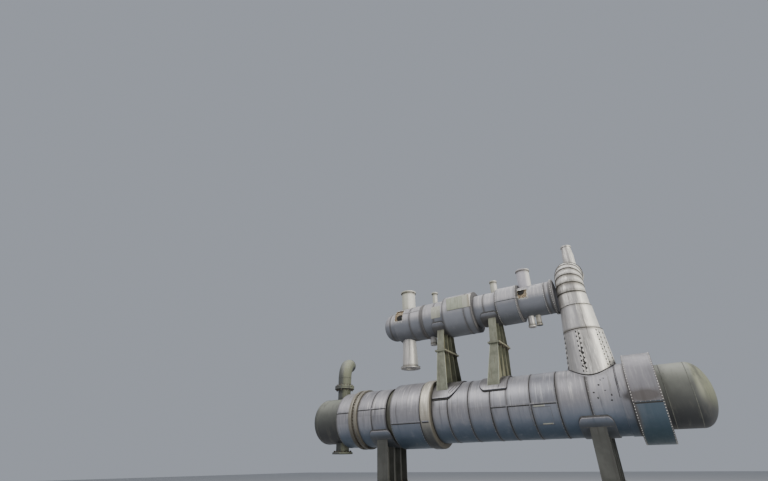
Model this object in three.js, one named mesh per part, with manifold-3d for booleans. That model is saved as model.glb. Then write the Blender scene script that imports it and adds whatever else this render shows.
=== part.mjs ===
// Stacked pair of clad heat exchangers: a large vessel on two piers carries a smaller one on two pedestals.
// Millimetres, +Z up. X runs along both vessels, +X at the bare front head. The origin is on the ground,
// under the middle of the vessels.
import * as THREE from 'three';
import { mergeVertices } from 'three/addons/utils/BufferGeometryUtils.js';
import Module from 'manifold-3d';

const wasm = await Module();
wasm.setup();

// Driving dimensions
const stationZero = -5140;        // where station 0 of the lengths below lies in X
const lowerAxis = 3230;           // height of the lower vessel's axis
const upperAxis = 6780;           // height of the upper vessel's axis
const gap = 0.3;                  // clearance between touching pieces
const around = 48;                // facets around a vessel
const aroundPipe = 24;            // facets around a nozzle
const aroundRiser = 36;           // facets around the riser

// Lower vessel, stations and radii
const bareRadius = 871;           // uncovered channels and heads
const bareWall = 20;
const jacketWall = 100;           // shell plate, insulation and cladding together
const wideWall = 200;
const plainBandWall = 45;
const rearHeadEnd = -1870;
const rearHeadFoot = -1420;
const rearBarrelStart = -270;
const rearFlangeStart = 380;
const rearFlangeEnd = 760;
const plainBandStart = 2070;
const wideBarrelStart = 2310;
const middleFlangeStart = 3550;
const middleFlangeEnd = 3950;
const mainShellStep = 9910;
const frontDrumStart = 10160;
const frontDrumEnd = 10920;
const frontHeadFoot = 11650;
const frontHeadEnd = 12150;
const rearBarrelRadius = 1030;
const rearFlangeRadius = 1110;
const rearShellRadius = 1040;
const plainBandRadius = 985;
const wideBarrelRadius = 1144;
const middleFlangeRadius = 1180;
const middleFlangeEdge = [[0, 110], [25, 55], [70, 15], [140, 0]];   // inwards from each end, and down
const mainRadius = 1000;
const mainStepRadius = 1020;
const frontDrumRadius = 1249;
const flangeGroove = { width: 60, depth: 50 };
const dishSteps = 7;              // rings of facets on a dished end

// Upper vessel, stations and radii
const upperCapEnd = 1580;
const upperCapFoot = 2050;
const upperRearStart = 2330;
const upperBandStart = 3540;
const upperBandEnd = 3625;
const upperWideStart = 4560;
const upperWideEnd = 5760;
const upperDrumStart = 6670;
const upperDrumEnd = 7460;
const upperCoverStart = 8600;
const upperCoverEnd = 8690;
const upperWall = 80;
const upperRearWall = 120;
const upperCapRadius = 580;
const upperRadius = 700;
const upperBandRadius = 718;
const upperWideRadius = 800;
const upperMiddleRadius = 615;
const upperDrumRadius = 702;
const upperFrontRadius = 575;
const upperCoverRadius = 630;
// Open places in the cladding, on the side of -Y
const rearPocket = { start: 2360, end: 2740, depth: 60, facets: 8, middle: 150 };
const frontPocket = { start: 7480, end: 7850, depth: 45, facets: 6, middle: 165 };
// Flat-faced box on the wide shell: outline in Y and above the vessel's axis, before the shell is cut out
const sideBox = { start: 4800, end: 5757, outline: [[-500, 0], [-822, 0], [-822, 490], [-500, 600]] };

// Piers, saddles and the pedestals between the vessels
const pier = { length: 760, width: 2000, height: 1000 };
const saddle = { length: 450, width: 1410, basePlate: 40, baseLength: 580, baseWidth: 1600, plate: 30 };
const rearSaddleStation = 1700;
const frontSaddleStation = 9100;
const wrap = { length: 960, thickness: 35, seat: 10, facets: 16, seatFacets: 12 };
const pedestal = {
  plate: 24, topLength: 280, footLength: 415, headHalfWidth: 400, jointHalfWidth: 600, footHalfWidth: 798,
};
const boltingPlate = { length: 430, width: 1300, thickness: 30 };
const pedestalJoint = 5370;       // height of the face where the two bolting plates meet
const rearPedestal = {
  station: 4310, footShift: 25, collar: { start: 3960, end: 5000, facets: 18, corners: [20, 400] },
};
const frontPedestal = {
  station: 6400, footShift: -180, collar: { start: 5710, end: 6700, facets: 16, corners: [220, 60] },
};
const collarThickness = 40;
const cornerSegments = 6;         // along each rounded corner of a collar
const upperWrap = { length: 490, thickness: 26, facets: 16 };
const saddleSeat = 0.4;           // where plates end before the vessel is cut out of them, as a share
const upperSaddleSeat = 0.45;     // of the vessel's radius away from its axis
const stoolSeat = 0.6;
const nozzleSeat = 0.8;
const cutReach = 900;             // half the length of the cylinders that cut those seats

// Riser on the lower vessel
const riser = {
  station: 9270, bore: 380, footRadius: 750, collarTop: 2150, collarTopRadius: 605,
  barrelStation: 9235, barrelFootRadius: 585, barrelTop: 3000, barrelTopRadius: 510,
  elbowStation: 9210, elbowFootRadius: 500, bendFoot: 3470, elbowRadius: 465, bendRadius: 1180,
  bendSteps: 14, flangeRadius: 455, flangeFace: 1245,
};
const vent = {
  station: 9340, y: 700, footRadius: 230, headRadius: 165, lip: 195, lipThickness: 50, top: 5670,
};

// Nozzles: station, radii of the pipe's root and end and of its flange or lip, and how far its face is
// from the vessel's axis
const flangeThickness = 70;
const upperTopNozzles = [
  { name: 'upper_inlet_nozzle', station: 2700, root: 290, radius: 290, flange: 330, reach: 1480, bore: 190 },
  { name: 'upper_top_vent', station: 3970, root: 105, radius: 105, flange: 135, reach: 1190, bore: 0 },
  { name: 'upper_gauge_nozzle', station: 6520, root: 130, radius: 130, flange: 145, reach: 1100, bore: 0 },
  { name: 'upper_front_nozzle', station: 7700, root: 235, radius: 235, flange: 258, reach: 1265, bore: 170 },
];
const upperBottomNozzles = [
  { name: 'upper_outlet_nozzle', station: 2660, root: 270, radius: 325, flange: 400, reach: 1800, bore: 190 },
  { name: 'upper_drain_nozzle', station: 3775, root: 130, radius: 130, flange: 140, reach: 1010, bore: 0 },
  { name: 'upper_return_nozzle', station: 7700, root: 118, radius: 118, flange: 140, reach: 950, bore: 0 },
  { name: 'upper_test_nozzle', station: 7960, root: 95, radius: 95, flange: 112, reach: 925, bore: 0 },
];
const lowerNozzle = {
  station: -690, root: 270, radius: 270, flange: 420, top: 1330, bottom: 1240, bore: 200,
};
const tailElbow = {
  radius: 285, bore: 205, bendRadius: 640, rise: 420, tail: 60, flange: 420, steps: 8, turn: Math.PI / 9,
};
const weldLap = 1;                // how far joined lengths of pipe run into each other

// Finishes
const cladding = { color: 0xa5a3a8, roughness: 0.45, metalness: 0.7 };
const creamCladding = { color: 0xc4bfae, roughness: 0.5, metalness: 0.5 };
const bareSteel = { color: 0x83897a, roughness: 0.6, metalness: 0.1 };
const palePaint = { color: 0x98a08a, roughness: 0.6, metalness: 0.1 };
const darkBand = { color: 0x5b5c50, roughness: 0.7, metalness: 0.2 };
const concrete = { color: 0x9b978c, roughness: 0.9, metalness: 0 };

const upwards = Math.PI / 2;
const downwards = Math.PI * 1.5;

// Geometry helpers

// Closed geometry with shared corners, no empty triangles, and its faces pointing out
function closed(geometry) {
  const bare = geometry.index ? geometry.toNonIndexed() : geometry.clone();
  for (const name of Object.keys(bare.attributes)) {
    if (name !== 'position') bare.deleteAttribute(name);
  }
  const merged = mergeVertices(bare, 1e-3);
  const position = merged.attributes.position;
  const index = merged.index.array;
  const faces = [];
  const a = new THREE.Vector3();
  const b = new THREE.Vector3();
  const c = new THREE.Vector3();
  let volume = 0;
  for (let i = 0; i < index.length; i += 3) {
    const face = [index[i], index[i + 1], index[i + 2]];
    if (face[0] === face[1] || face[1] === face[2] || face[2] === face[0]) continue;
    a.fromBufferAttribute(position, face[0]);
    b.fromBufferAttribute(position, face[1]);
    c.fromBufferAttribute(position, face[2]);
    volume += a.dot(b.cross(c));
    faces.push(face);
  }
  const order = volume < 0 ? faces.map(([p, q, r]) => [p, r, q]) : faces;
  merged.setIndex(order.flat());
  return merged;
}

function toSolid(geometry) {
  const mesh = closed(geometry);
  return new wasm.Manifold(new wasm.Mesh({
    numProp: 3,
    vertProperties: new Float32Array(mesh.attributes.position.array),
    triVerts: new Uint32Array(mesh.index.array),
  }));
}

function toGeometry(solid) {
  const mesh = solid.getMesh();
  const geometry = new THREE.BufferGeometry();
  geometry.setAttribute('position', new THREE.BufferAttribute(new Float32Array(mesh.vertProperties), 3));
  geometry.setIndex(new THREE.BufferAttribute(new Uint32Array(mesh.triVerts), 1));
  return geometry;
}

function joined(geometries) {
  return toGeometry(geometries.map(toSolid).reduce((whole, solid) => whole.add(solid)));
}

function cutBy(geometry, tools) {
  return toGeometry(tools.map(toSolid).reduce((whole, tool) => whole.subtract(tool), toSolid(geometry)));
}

// Solid of revolution about a line along X, from [station, radius] corners
function turnedAlong(corners, axisHeight, facets = around) {
  const points = corners.map(([station, radius]) => new THREE.Vector2(radius, station + stationZero));
  return new THREE.LatheGeometry(points, facets).rotateZ(-Math.PI / 2).translate(0, 0, axisHeight);
}

// Solid of revolution about an upright line, from [radius, height] corners
function turnedUpright(corners, station, y, facets) {
  const points = corners.map(([radius, height]) => new THREE.Vector2(radius, height));
  return new THREE.LatheGeometry(points, facets).rotateX(Math.PI / 2).translate(station + stationZero, y, 0);
}

const loop = (corners) => [...corners, corners[0]];

function disc(start, end, radius, axisHeight, facets = around) {
  return turnedAlong([[start, 0], [start, radius], [end, radius], [end, 0]], axisHeight, facets);
}

function barrel(start, end, radius, wall, axisHeight) {
  const corners = [[start, radius - wall], [start, radius], [end, radius], [end, radius - wall]];
  return turnedAlong(loop(corners), axisHeight);
}

// Corners of a dished end outside and inside, each from its crown to its foot
function dish(foot, crown, radius, wall) {
  const depth = crown - foot;
  const hollow = depth - Math.sign(depth) * wall;
  const outside = [];
  const inside = [];
  for (let i = 0; i <= dishSteps; i += 1) {
    const angle = (Math.PI / 2) * (i / dishSteps);
    outside.push([foot + depth * Math.cos(angle), radius * Math.sin(angle)]);
    inside.push([foot + hollow * Math.cos(angle), (radius - wall) * Math.sin(angle)]);
  }
  return { outside, inside };
}

function dishedEnd(foot, crown, radius, wall, axisHeight) {
  const { outside, inside } = dish(foot, crown, radius, wall);
  return turnedAlong([...outside, ...inside.reverse()], axisHeight);
}

function block(length, width, height, station, y, bottom) {
  return new THREE.BoxGeometry(length, width, height)
    .translate(station + stationZero, y, bottom + height / 2);
}

// Outline in Y and Z, extruded along X about a station
function acrossPlate(outline, station, length) {
  const shape = new THREE.Shape(outline.map(([y, z]) => new THREE.Vector2(y, z)));
  const turn = new THREE.Matrix4().makeBasis(
    new THREE.Vector3(0, 1, 0), new THREE.Vector3(0, 0, 1), new THREE.Vector3(1, 0, 0));
  return new THREE.ExtrudeGeometry(shape, { depth: length, bevelEnabled: false })
    .applyMatrix4(turn).translate(station + stationZero - length / 2, 0, 0);
}

// A web across the vessel and four ribs, the outer two flush with its edges. The foot and the head each
// have a height, a half width and a length of rib, and the foot may lie off centre along X.
function ribbedWeb(station, plate, foot, head, footShift = 0) {
  const web = acrossPlate([[-foot.halfWidth, foot.height], [foot.halfWidth, foot.height],
    [head.halfWidth, head.height], [-head.halfWidth, head.height]], station, plate);
  const outline = [[footShift - foot.length / 2, foot.height], [footShift + foot.length / 2, foot.height],
    [head.length / 2, head.height], [-head.length / 2, head.height]];
  const shape = new THREE.Shape(outline.map(([x, z]) => new THREE.Vector2(x, z)));
  const ribs = [-1, -1 / 3, 1 / 3, 1].map((row) => {
    const footY = row * (foot.halfWidth - plate / 2);
    const headY = row * (head.halfWidth - plate / 2);
    const slope = (headY - footY) / (head.height - foot.height);
    return new THREE.ExtrudeGeometry(shape, { depth: plate, bevelEnabled: false })
      .rotateX(Math.PI / 2).translate(0, plate / 2, -foot.height)
      .applyMatrix4(new THREE.Matrix4().makeShear(0, 0, 0, 0, 0, slope))
      .translate(station + stationZero, footY, foot.height);
  });
  return [web, ...ribs];
}

// Curved plate on a vessel, centred on an angle from +Y towards +Z, its corners on the vessel's own facets.
// Its middle facets may be thinner.
function wrapPlate(station, length, innerRadius, thickness, middleAngle, axisHeight, facets, seat) {
  const step = (Math.PI * 2) / around;
  const corner = (i, radius) => {
    const angle = middleAngle + step * (i - facets / 2);
    return [radius * Math.cos(angle), axisHeight + radius * Math.sin(angle)];
  };
  const outer = [];
  const inner = [];
  for (let i = 0; i <= facets; i += 1) {
    const steps = Math.abs(i - facets / 2) - (seat ? seat.facets / 2 : -1);
    const thick = corner(i, innerRadius + thickness);
    const thin = seat ? corner(i, innerRadius + seat.thickness) : thick;
    if (steps > 0) outer.push(thick);
    else if (steps < 0) outer.push(thin);
    else outer.push(...(i < facets / 2 ? [thick, thin] : [thin, thick]));
    inner.push(corner(i, innerRadius));
  }
  return acrossPlate([...outer, ...inner.reverse()], station, length);
}

// Smooth bend that starts upright at a height and turns towards +Y
class Bend extends THREE.Curve {
  constructor(station, height, radius) {
    super();
    this.station = station;
    this.height = height;
    this.radius = radius;
  }

  getPoint(t, target = new THREE.Vector3()) {
    const angle = (Math.PI / 2) * t;
    const x = this.station + stationZero;
    return target.set(x, this.radius * (1 - Math.cos(angle)), this.height + this.radius * Math.sin(angle));
  }
}

function bentPipe(station, height, bendRadius, radius, bore, steps, facets) {
  const section = new THREE.Shape();
  section.absarc(0, 0, radius, 0, Math.PI * 2);
  if (bore > 0) {
    const hole = new THREE.Path();
    hole.absarc(0, 0, bore, 0, Math.PI * 2, true);
    section.holes.push(hole);
  }
  const options = { steps, extrudePath: new Bend(station, height, bendRadius), curveSegments: facets };
  return new THREE.ExtrudeGeometry(section, options);
}

// Ring facing +Y at the end of a bend
function endRing(station, y, height, radius, bore, length, facets) {
  const ring = loop([[bore, 0], [radius, 0], [radius, length], [bore, length]]);
  const points = ring.map(([r, along]) => new THREE.Vector2(r, along));
  return new THREE.LatheGeometry(points, facets).translate(station + stationZero, y, height);
}

// The assembly
const assembly = new THREE.Group();

function add(name, geometry, finish) {
  const mesh = new THREE.Mesh(closed(geometry), new THREE.MeshStandardMaterial(finish));
  mesh.name = name;
  assembly.add(mesh);
}

// Lower vessel, rear to front
function addLowerVessel() {
  const z = lowerAxis;
  add('rear_head', dishedEnd(rearHeadFoot - gap, rearHeadEnd, bareRadius, bareWall, z), bareSteel);
  add('rear_channel', barrel(rearHeadFoot, rearBarrelStart - gap, bareRadius, bareWall, z), bareSteel);
  const rearBarrelWall = rearBarrelRadius - bareRadius + bareWall;
  const rearBarrelEnd = rearFlangeStart - gap;
  add('rear_barrel', barrel(rearBarrelStart, rearBarrelEnd, rearBarrelRadius, rearBarrelWall, z), cladding);

  const grooveStart = (rearFlangeStart + rearFlangeEnd - flangeGroove.width) / 2;
  const grooveEnd = grooveStart + flangeGroove.width;
  const grooveRadius = rearFlangeRadius - flangeGroove.depth;
  add('rear_flange_pair', turnedAlong([
    [rearFlangeStart, 0], [rearFlangeStart, rearFlangeRadius], [grooveStart, rearFlangeRadius],
    [grooveStart, grooveRadius], [grooveEnd, grooveRadius], [grooveEnd, rearFlangeRadius],
    [rearFlangeEnd, rearFlangeRadius], [rearFlangeEnd, 0]], z), creamCladding);

  const rearStart = rearFlangeEnd + gap;
  add('rear_shell', barrel(rearStart, plainBandStart - gap, rearShellRadius, jacketWall, z), cladding);
  const bandEnd = wideBarrelStart - gap;
  const wideEnd = middleFlangeStart - gap;
  add('plain_band', barrel(plainBandStart, bandEnd, plainBandRadius, plainBandWall, z), darkBand);
  add('wide_shell', barrel(wideBarrelStart, wideEnd, wideBarrelRadius, wideWall, z), cladding);
  const edge = (end, towards) => middleFlangeEdge.map(
    ([along, down]) => [end + along * towards, middleFlangeRadius - down]);
  add('middle_flange_cover', turnedAlong([
    [middleFlangeStart, 0], ...edge(middleFlangeStart, 1), ...edge(middleFlangeEnd, -1).reverse(),
    [middleFlangeEnd, 0]], z), creamCladding);

  const mainInner = mainRadius - jacketWall;
  const mainStart = middleFlangeEnd + gap;
  const mainEnd = frontDrumStart - gap;
  add('main_shell', turnedAlong(loop([
    [mainStart, mainInner], [mainStart, mainRadius], [mainShellStep, mainRadius],
    [mainShellStep, mainStepRadius], [mainEnd, mainStepRadius], [mainEnd, mainInner]]), z), cladding);
  add('front_flange_cover', disc(frontDrumStart, frontDrumEnd, frontDrumRadius, z), cladding);
  add('front_channel', barrel(frontDrumEnd + gap, frontHeadFoot - gap, bareRadius, bareWall, z), bareSteel);
  add('front_head', dishedEnd(frontHeadFoot, frontHeadEnd, bareRadius, bareWall, z), bareSteel);
}

// Shell with one place where its cladding is open
function withPocket(shell, pocket, radius) {
  const middle = THREE.MathUtils.degToRad(pocket.middle);
  return cutBy(shell, [wrapPlate((pocket.start + pocket.end) / 2, pocket.end - pocket.start,
    radius - pocket.depth, pocket.depth * 2, middle, upperAxis, pocket.facets)]);
}

// Upper vessel, rear to front
function addUpperVessel() {
  const z = upperAxis;
  const capInner = upperCapRadius - upperWall;
  const capEdge = upperRearStart - gap;
  const cap = dish(upperCapFoot, upperCapEnd, upperCapRadius, upperWall);
  add('upper_end_cap', turnedAlong([
    ...cap.outside, [capEdge, upperCapRadius], [capEdge, capInner], ...cap.inside.reverse()], z), cladding);

  const rearEnd = upperWideStart - gap;
  const rearInner = upperRadius - upperRearWall;
  const rearShell = turnedAlong(loop([
    [upperRearStart, capInner], [upperRearStart, upperRadius], [upperBandStart, upperRadius],
    [upperBandStart, upperBandRadius], [upperBandEnd, upperBandRadius], [upperBandEnd, upperRadius],
    [rearEnd, upperRadius], [rearEnd, rearInner], [upperRearStart + upperWall, rearInner],
    [upperRearStart + upperWall, capInner]]), z);
  add('upper_rear_shell', withPocket(rearShell, rearPocket, upperRadius), cladding);
  const wideEnd = upperWideEnd - gap;
  const middleEnd = upperDrumStart - gap;
  const wideWallHere = upperWideRadius - upperMiddleRadius + upperWall;
  add('upper_wide_shell', barrel(upperWideStart, wideEnd, upperWideRadius, wideWallHere, z), cladding);
  add('upper_middle_shell', barrel(upperWideEnd, middleEnd, upperMiddleRadius, upperWall, z), cladding);
  add('upper_flange_cover', disc(upperDrumStart, upperDrumEnd, upperDrumRadius, z), cladding);

  const frontBarrel = barrel(upperDrumEnd + gap, upperCoverStart - gap, upperFrontRadius, upperWall, z);
  add('upper_front_shell', withPocket(frontBarrel, frontPocket, upperFrontRadius), cladding);
  add('upper_front_cover', disc(upperCoverStart, upperCoverEnd, upperCoverRadius, z), cladding);

  const { start, end } = sideBox;
  const outline = sideBox.outline.map(([y, rise]) => [y, z + rise]);
  const shellCut = disc(upperWideStart, upperWideEnd, upperWideRadius + gap, z);
  add('upper_side_box', cutBy(acrossPlate(outline, (start + end) / 2, end - start), [shellCut]), palePaint);
}

// Concrete pier, steel saddle and the cladding wrap over the wear plate
function addSaddle(end, station, vesselRadius) {
  const wrapRadius = vesselRadius + gap;
  add(`${end}_pier`, block(pier.length, pier.width, pier.height, station, 0, 0), concrete);

  const basePlateFoot = pier.height + gap;
  const halfWidth = saddle.width / 2;
  const { length } = saddle;
  const foot = { height: basePlateFoot + saddle.basePlate, halfWidth, length };
  const head = { height: lowerAxis - vesselRadius * saddleSeat, halfWidth, length };
  const seatCut = disc(station - cutReach, station + cutReach, wrapRadius + wrap.seat + gap, lowerAxis);
  add(`${end}_saddle`, cutBy(joined([
    block(saddle.baseLength, saddle.baseWidth, saddle.basePlate, station, 0, basePlateFoot),
    ...ribbedWeb(station, saddle.plate, foot, head)]), [seatCut]), palePaint);

  const seat = { facets: wrap.seatFacets, thickness: wrap.seat };
  add(`${end}_saddle_wrap`, wrapPlate(
    station, wrap.length, wrapRadius, wrap.thickness, downwards, lowerAxis, wrap.facets, seat), cladding);
}

// Plate over the top of the lower vessel, its corners rounded in plan: those at the start, then at the end
function addCollar(name, { start, end, facets, corners }) {
  const radius = mainRadius + gap;
  const plate = wrapPlate(
    (start + end) / 2, end - start, radius, collarThickness, upwards, lowerAxis, facets);
  const halfWidth = (radius + collarThickness) * Math.sin((Math.PI * facets) / around) + weldLap;
  const [first, last] = corners;
  const plan = new THREE.Shape();
  plan.absarc(start + first, halfWidth - first, first, Math.PI, Math.PI / 2, true);
  plan.absarc(end - last, halfWidth - last, last, Math.PI / 2, 0, true);
  plan.absarc(end - last, last - halfWidth, last, 0, -Math.PI / 2, true);
  plan.absarc(start + first, first - halfWidth, first, -Math.PI / 2, -Math.PI, true);
  const prism = new THREE.ExtrudeGeometry(
    plan, { depth: radius * 2, bevelEnabled: false, curveSegments: cornerSegments });
  prism.translate(stationZero, 0, lowerAxis);
  add(name, toGeometry(toSolid(plate).intersect(toSolid(prism))), cladding);
}

// Collar on the lower vessel, lower stool, and the upper saddle bolted to it
function addPedestal(end, place, radiusAbove) {
  const { station, footShift } = place;
  const { plate, topLength, footLength } = pedestal;
  const bolting = boltingPlate;
  addCollar(`${end}_pedestal_collar`, place.collar);

  const stoolTop = pedestalJoint - bolting.thickness;
  const stoolHead = { height: stoolTop, halfWidth: pedestal.jointHalfWidth, length: topLength };
  const stoolFoot = {
    height: lowerAxis + mainRadius * stoolSeat, halfWidth: pedestal.footHalfWidth, length: footLength,
  };
  const stool = [
    block(bolting.length, bolting.width, bolting.thickness, station, 0, stoolTop),
    ...ribbedWeb(station, plate, stoolFoot, stoolHead, footShift)];
  const collarTop = mainRadius + collarThickness + gap * 2;
  const collarCut = disc(station - cutReach, station + cutReach, collarTop, lowerAxis);
  add(`${end}_pedestal_stool`, cutBy(joined(stool), [collarCut]), palePaint);

  const seatRadius = radiusAbove + gap;
  const saddleFoot = {
    height: pedestalJoint + gap + bolting.thickness, halfWidth: pedestal.jointHalfWidth, length: topLength,
  };
  const saddleHead = {
    height: upperAxis - radiusAbove * upperSaddleSeat, halfWidth: pedestal.headHalfWidth, length: topLength,
  };
  const upper = [
    block(bolting.length, bolting.width, bolting.thickness, station, 0, pedestalJoint + gap),
    ...ribbedWeb(station, plate, saddleFoot, saddleHead),
    wrapPlate(station, upperWrap.length, seatRadius, upperWrap.thickness, downwards, upperAxis,
      upperWrap.facets)];
  const vesselCut = disc(station - cutReach, station + cutReach, seatRadius, upperAxis);
  add(`${end}_pedestal_saddle`, cutBy(joined(upper), [vesselCut]), palePaint);
}

// Nozzle standing on a vessel (direction 1) or hanging under it (direction -1)
function nozzle(spec, direction, axisHeight, vesselRadius) {
  const inside = spec.bore;
  const root = vesselRadius * nozzleSeat;
  const face = spec.reach;
  const neck = face - flangeThickness;
  const outer = [[spec.root, root], [spec.radius, neck], [spec.flange, neck], [spec.flange, face]];
  const corners = inside > 0
    ? loop([[inside, root], ...outer, [inside, face]])
    : [[0, root], ...outer, [0, face]];
  const placed = corners.map(([radius, rise]) => [radius, axisHeight + direction * rise]);
  const body = turnedUpright(placed, spec.station, 0, aroundPipe);
  const clear = disc(spec.station - cutReach, spec.station + cutReach, vesselRadius + gap, axisHeight);
  return cutBy(body, [clear]);
}

function upperRadiusAt(station) {
  if (station < upperWideStart) return upperRadius;
  if (station < upperDrumStart) return upperMiddleRadius;
  return upperFrontRadius;
}

function addNozzles() {
  for (const spec of upperTopNozzles) {
    add(spec.name, nozzle(spec, 1, upperAxis, upperRadiusAt(spec.station)), cladding);
  }
  for (const spec of upperBottomNozzles) {
    add(spec.name, nozzle(spec, -1, upperAxis, upperRadiusAt(spec.station)), bareSteel);
  }
  const top = { ...lowerNozzle, reach: lowerNozzle.top };
  const bottom = { ...lowerNozzle, reach: lowerNozzle.bottom };
  add('rear_top_nozzle', nozzle(top, 1, lowerAxis, bareRadius), bareSteel);
  add('rear_bottom_nozzle', nozzle(bottom, -1, lowerAxis, bareRadius), bareSteel);

  const { radius, bore, bendRadius, rise, flange, steps } = tailElbow;
  const { station } = lowerNozzle;
  const foot = lowerAxis + lowerNozzle.top + gap;
  const bendStart = foot + rise;
  const straight = turnedUpright(loop([
    [bore, foot], [flange, foot], [flange, foot + flangeThickness], [radius, foot + flangeThickness],
    [radius, bendStart + weldLap], [bore, bendStart + weldLap]]), station, 0, aroundPipe);
  const bend = bentPipe(station, bendStart, bendRadius, radius, bore, steps, aroundPipe / 2);
  const tail = endRing(station, bendRadius - weldLap, bendStart + bendRadius, radius, bore,
    tailElbow.tail + weldLap, aroundPipe);
  const x = station + stationZero;
  add('rear_top_elbow', joined([straight, bend, tail])
    .translate(-x, 0, 0).rotateZ(tailElbow.turn).translate(x, 0, 0), bareSteel);
}

// Clad riser with its segmented elbow, each length a little off the one below it
function addRiser() {
  const { station, bore, barrelStation, elbowStation, bendRadius, bendSteps } = riser;
  const collarFoot = lowerAxis + mainRadius * stoolSeat;
  const collarHead = lowerAxis + riser.collarTop;
  const barrelFoot = collarHead + gap;
  const barrelHead = lowerAxis + riser.barrelTop;
  const collar = turnedUpright(loop([
    [bore, collarFoot], [riser.footRadius, collarFoot],
    [riser.collarTopRadius, collarHead], [bore, collarHead]]), station, 0, aroundRiser);
  const shellCut = disc(station - cutReach, station + cutReach, mainRadius + gap, lowerAxis);
  const stepCut = disc(mainShellStep - gap, frontDrumStart, mainStepRadius + gap, lowerAxis);
  add('riser_collar', cutBy(collar, [shellCut, stepCut]), creamCladding);

  add('riser_barrel', turnedUpright(loop([
    [bore, barrelFoot], [riser.barrelFootRadius, barrelFoot],
    [riser.barrelTopRadius, barrelHead], [bore, barrelHead]]), barrelStation, 0, aroundRiser), creamCladding);

  const elbowFoot = barrelHead + gap;
  const bendStart = lowerAxis + riser.bendFoot;
  const outletHeight = bendStart + bendRadius;
  const straight = turnedUpright(loop([
    [bore, elbowFoot], [riser.elbowFootRadius, elbowFoot],
    [riser.elbowRadius, bendStart + weldLap], [bore, bendStart + weldLap]]), elbowStation, 0, aroundRiser);
  const bend = bentPipe(
    elbowStation, bendStart, bendRadius, riser.elbowRadius, bore, bendSteps, aroundRiser / 2);
  const flangeStart = bendRadius - weldLap;
  const flange = endRing(elbowStation, flangeStart, outletHeight, riser.flangeRadius, bore,
    riser.flangeFace - flangeStart, aroundRiser);
  add('riser_elbow', joined([straight, bend, flange]), creamCladding);

  const ventHead = lowerAxis + vent.top;
  const ventNeck = ventHead - vent.lipThickness;
  const pipe = turnedUpright([
    [0, outletHeight], [vent.footRadius, outletHeight], [vent.headRadius, ventNeck], [vent.lip, ventNeck],
    [vent.lip, ventHead], [0, ventHead]], vent.station, vent.y, aroundPipe);
  const elbowCut = bentPipe(
    elbowStation, bendStart, bendRadius, riser.elbowRadius + gap * 3, 0, bendSteps, aroundRiser / 2);
  add('riser_vent', cutBy(pipe, [elbowCut]), creamCladding);
}

addLowerVessel();
addUpperVessel();
addSaddle('rear', rearSaddleStation, rearShellRadius);
addSaddle('front', frontSaddleStation, mainRadius);
addPedestal('rear', rearPedestal, upperRadius);
addPedestal('front', frontPedestal, upperMiddleRadius);
addNozzles();
addRiser();

export default assembly;
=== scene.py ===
import math
import random
import bmesh
import bpy
from mathutils import Matrix, Vector


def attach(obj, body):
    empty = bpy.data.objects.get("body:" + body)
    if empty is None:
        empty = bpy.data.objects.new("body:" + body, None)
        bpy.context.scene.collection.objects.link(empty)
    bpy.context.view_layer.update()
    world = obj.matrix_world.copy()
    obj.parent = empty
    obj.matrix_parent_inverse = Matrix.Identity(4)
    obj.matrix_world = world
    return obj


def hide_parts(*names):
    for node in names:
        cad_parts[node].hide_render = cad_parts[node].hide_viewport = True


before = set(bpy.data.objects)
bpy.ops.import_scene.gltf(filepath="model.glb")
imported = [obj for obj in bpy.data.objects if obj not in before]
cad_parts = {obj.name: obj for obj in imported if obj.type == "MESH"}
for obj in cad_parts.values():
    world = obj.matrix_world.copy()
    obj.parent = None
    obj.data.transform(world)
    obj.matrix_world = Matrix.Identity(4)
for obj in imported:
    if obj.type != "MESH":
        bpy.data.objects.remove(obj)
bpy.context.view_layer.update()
print("frame loaded:", len(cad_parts), "nodes")

# Metres throughout. Lengths along the two vessels are stations, as in the source of the solids.
stationZero = -5.14
lowerAxis = 3.23
upperAxis = 6.78
chance = random.Random(11)


def along(station):
    return station + stationZero


# Finishes
class Wire:  # an output socket that takes part in sums
    def __init__(self, finish, socket):
        self.finish = finish
        self.socket = socket

    def sum(self, operation, first, second=0.0, third=0.0):
        return self.finish.node("ShaderNodeMath", {"operation": operation}, {0: first, 1: second, 2: third})

    def __add__(self, other):
        return self.sum("ADD", self, other)

    def __radd__(self, other):
        return self.sum("ADD", other, self)

    def __sub__(self, other):
        return self.sum("SUBTRACT", self, other)

    def __rsub__(self, other):
        return self.sum("SUBTRACT", other, self)

    def __mul__(self, other):
        return self.sum("MULTIPLY", self, other)

    def __rmul__(self, other):
        return self.sum("MULTIPLY", other, self)

    def within(self, low, high):  # 0 below low, 1 above high, smooth between
        settings = {"interpolation_type": "SMOOTHSTEP"}
        links = {"Value": self, "From Min": low, "From Max": high}
        return self.finish.node("ShaderNodeMapRange", settings, links)

    def size(self):
        return self.sum("ABSOLUTE", self)

    def clipped(self):
        return self.finish.node("ShaderNodeMath", {"operation": "ADD", "use_clamp": True}, {0: self, 1: 0.0})


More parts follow.
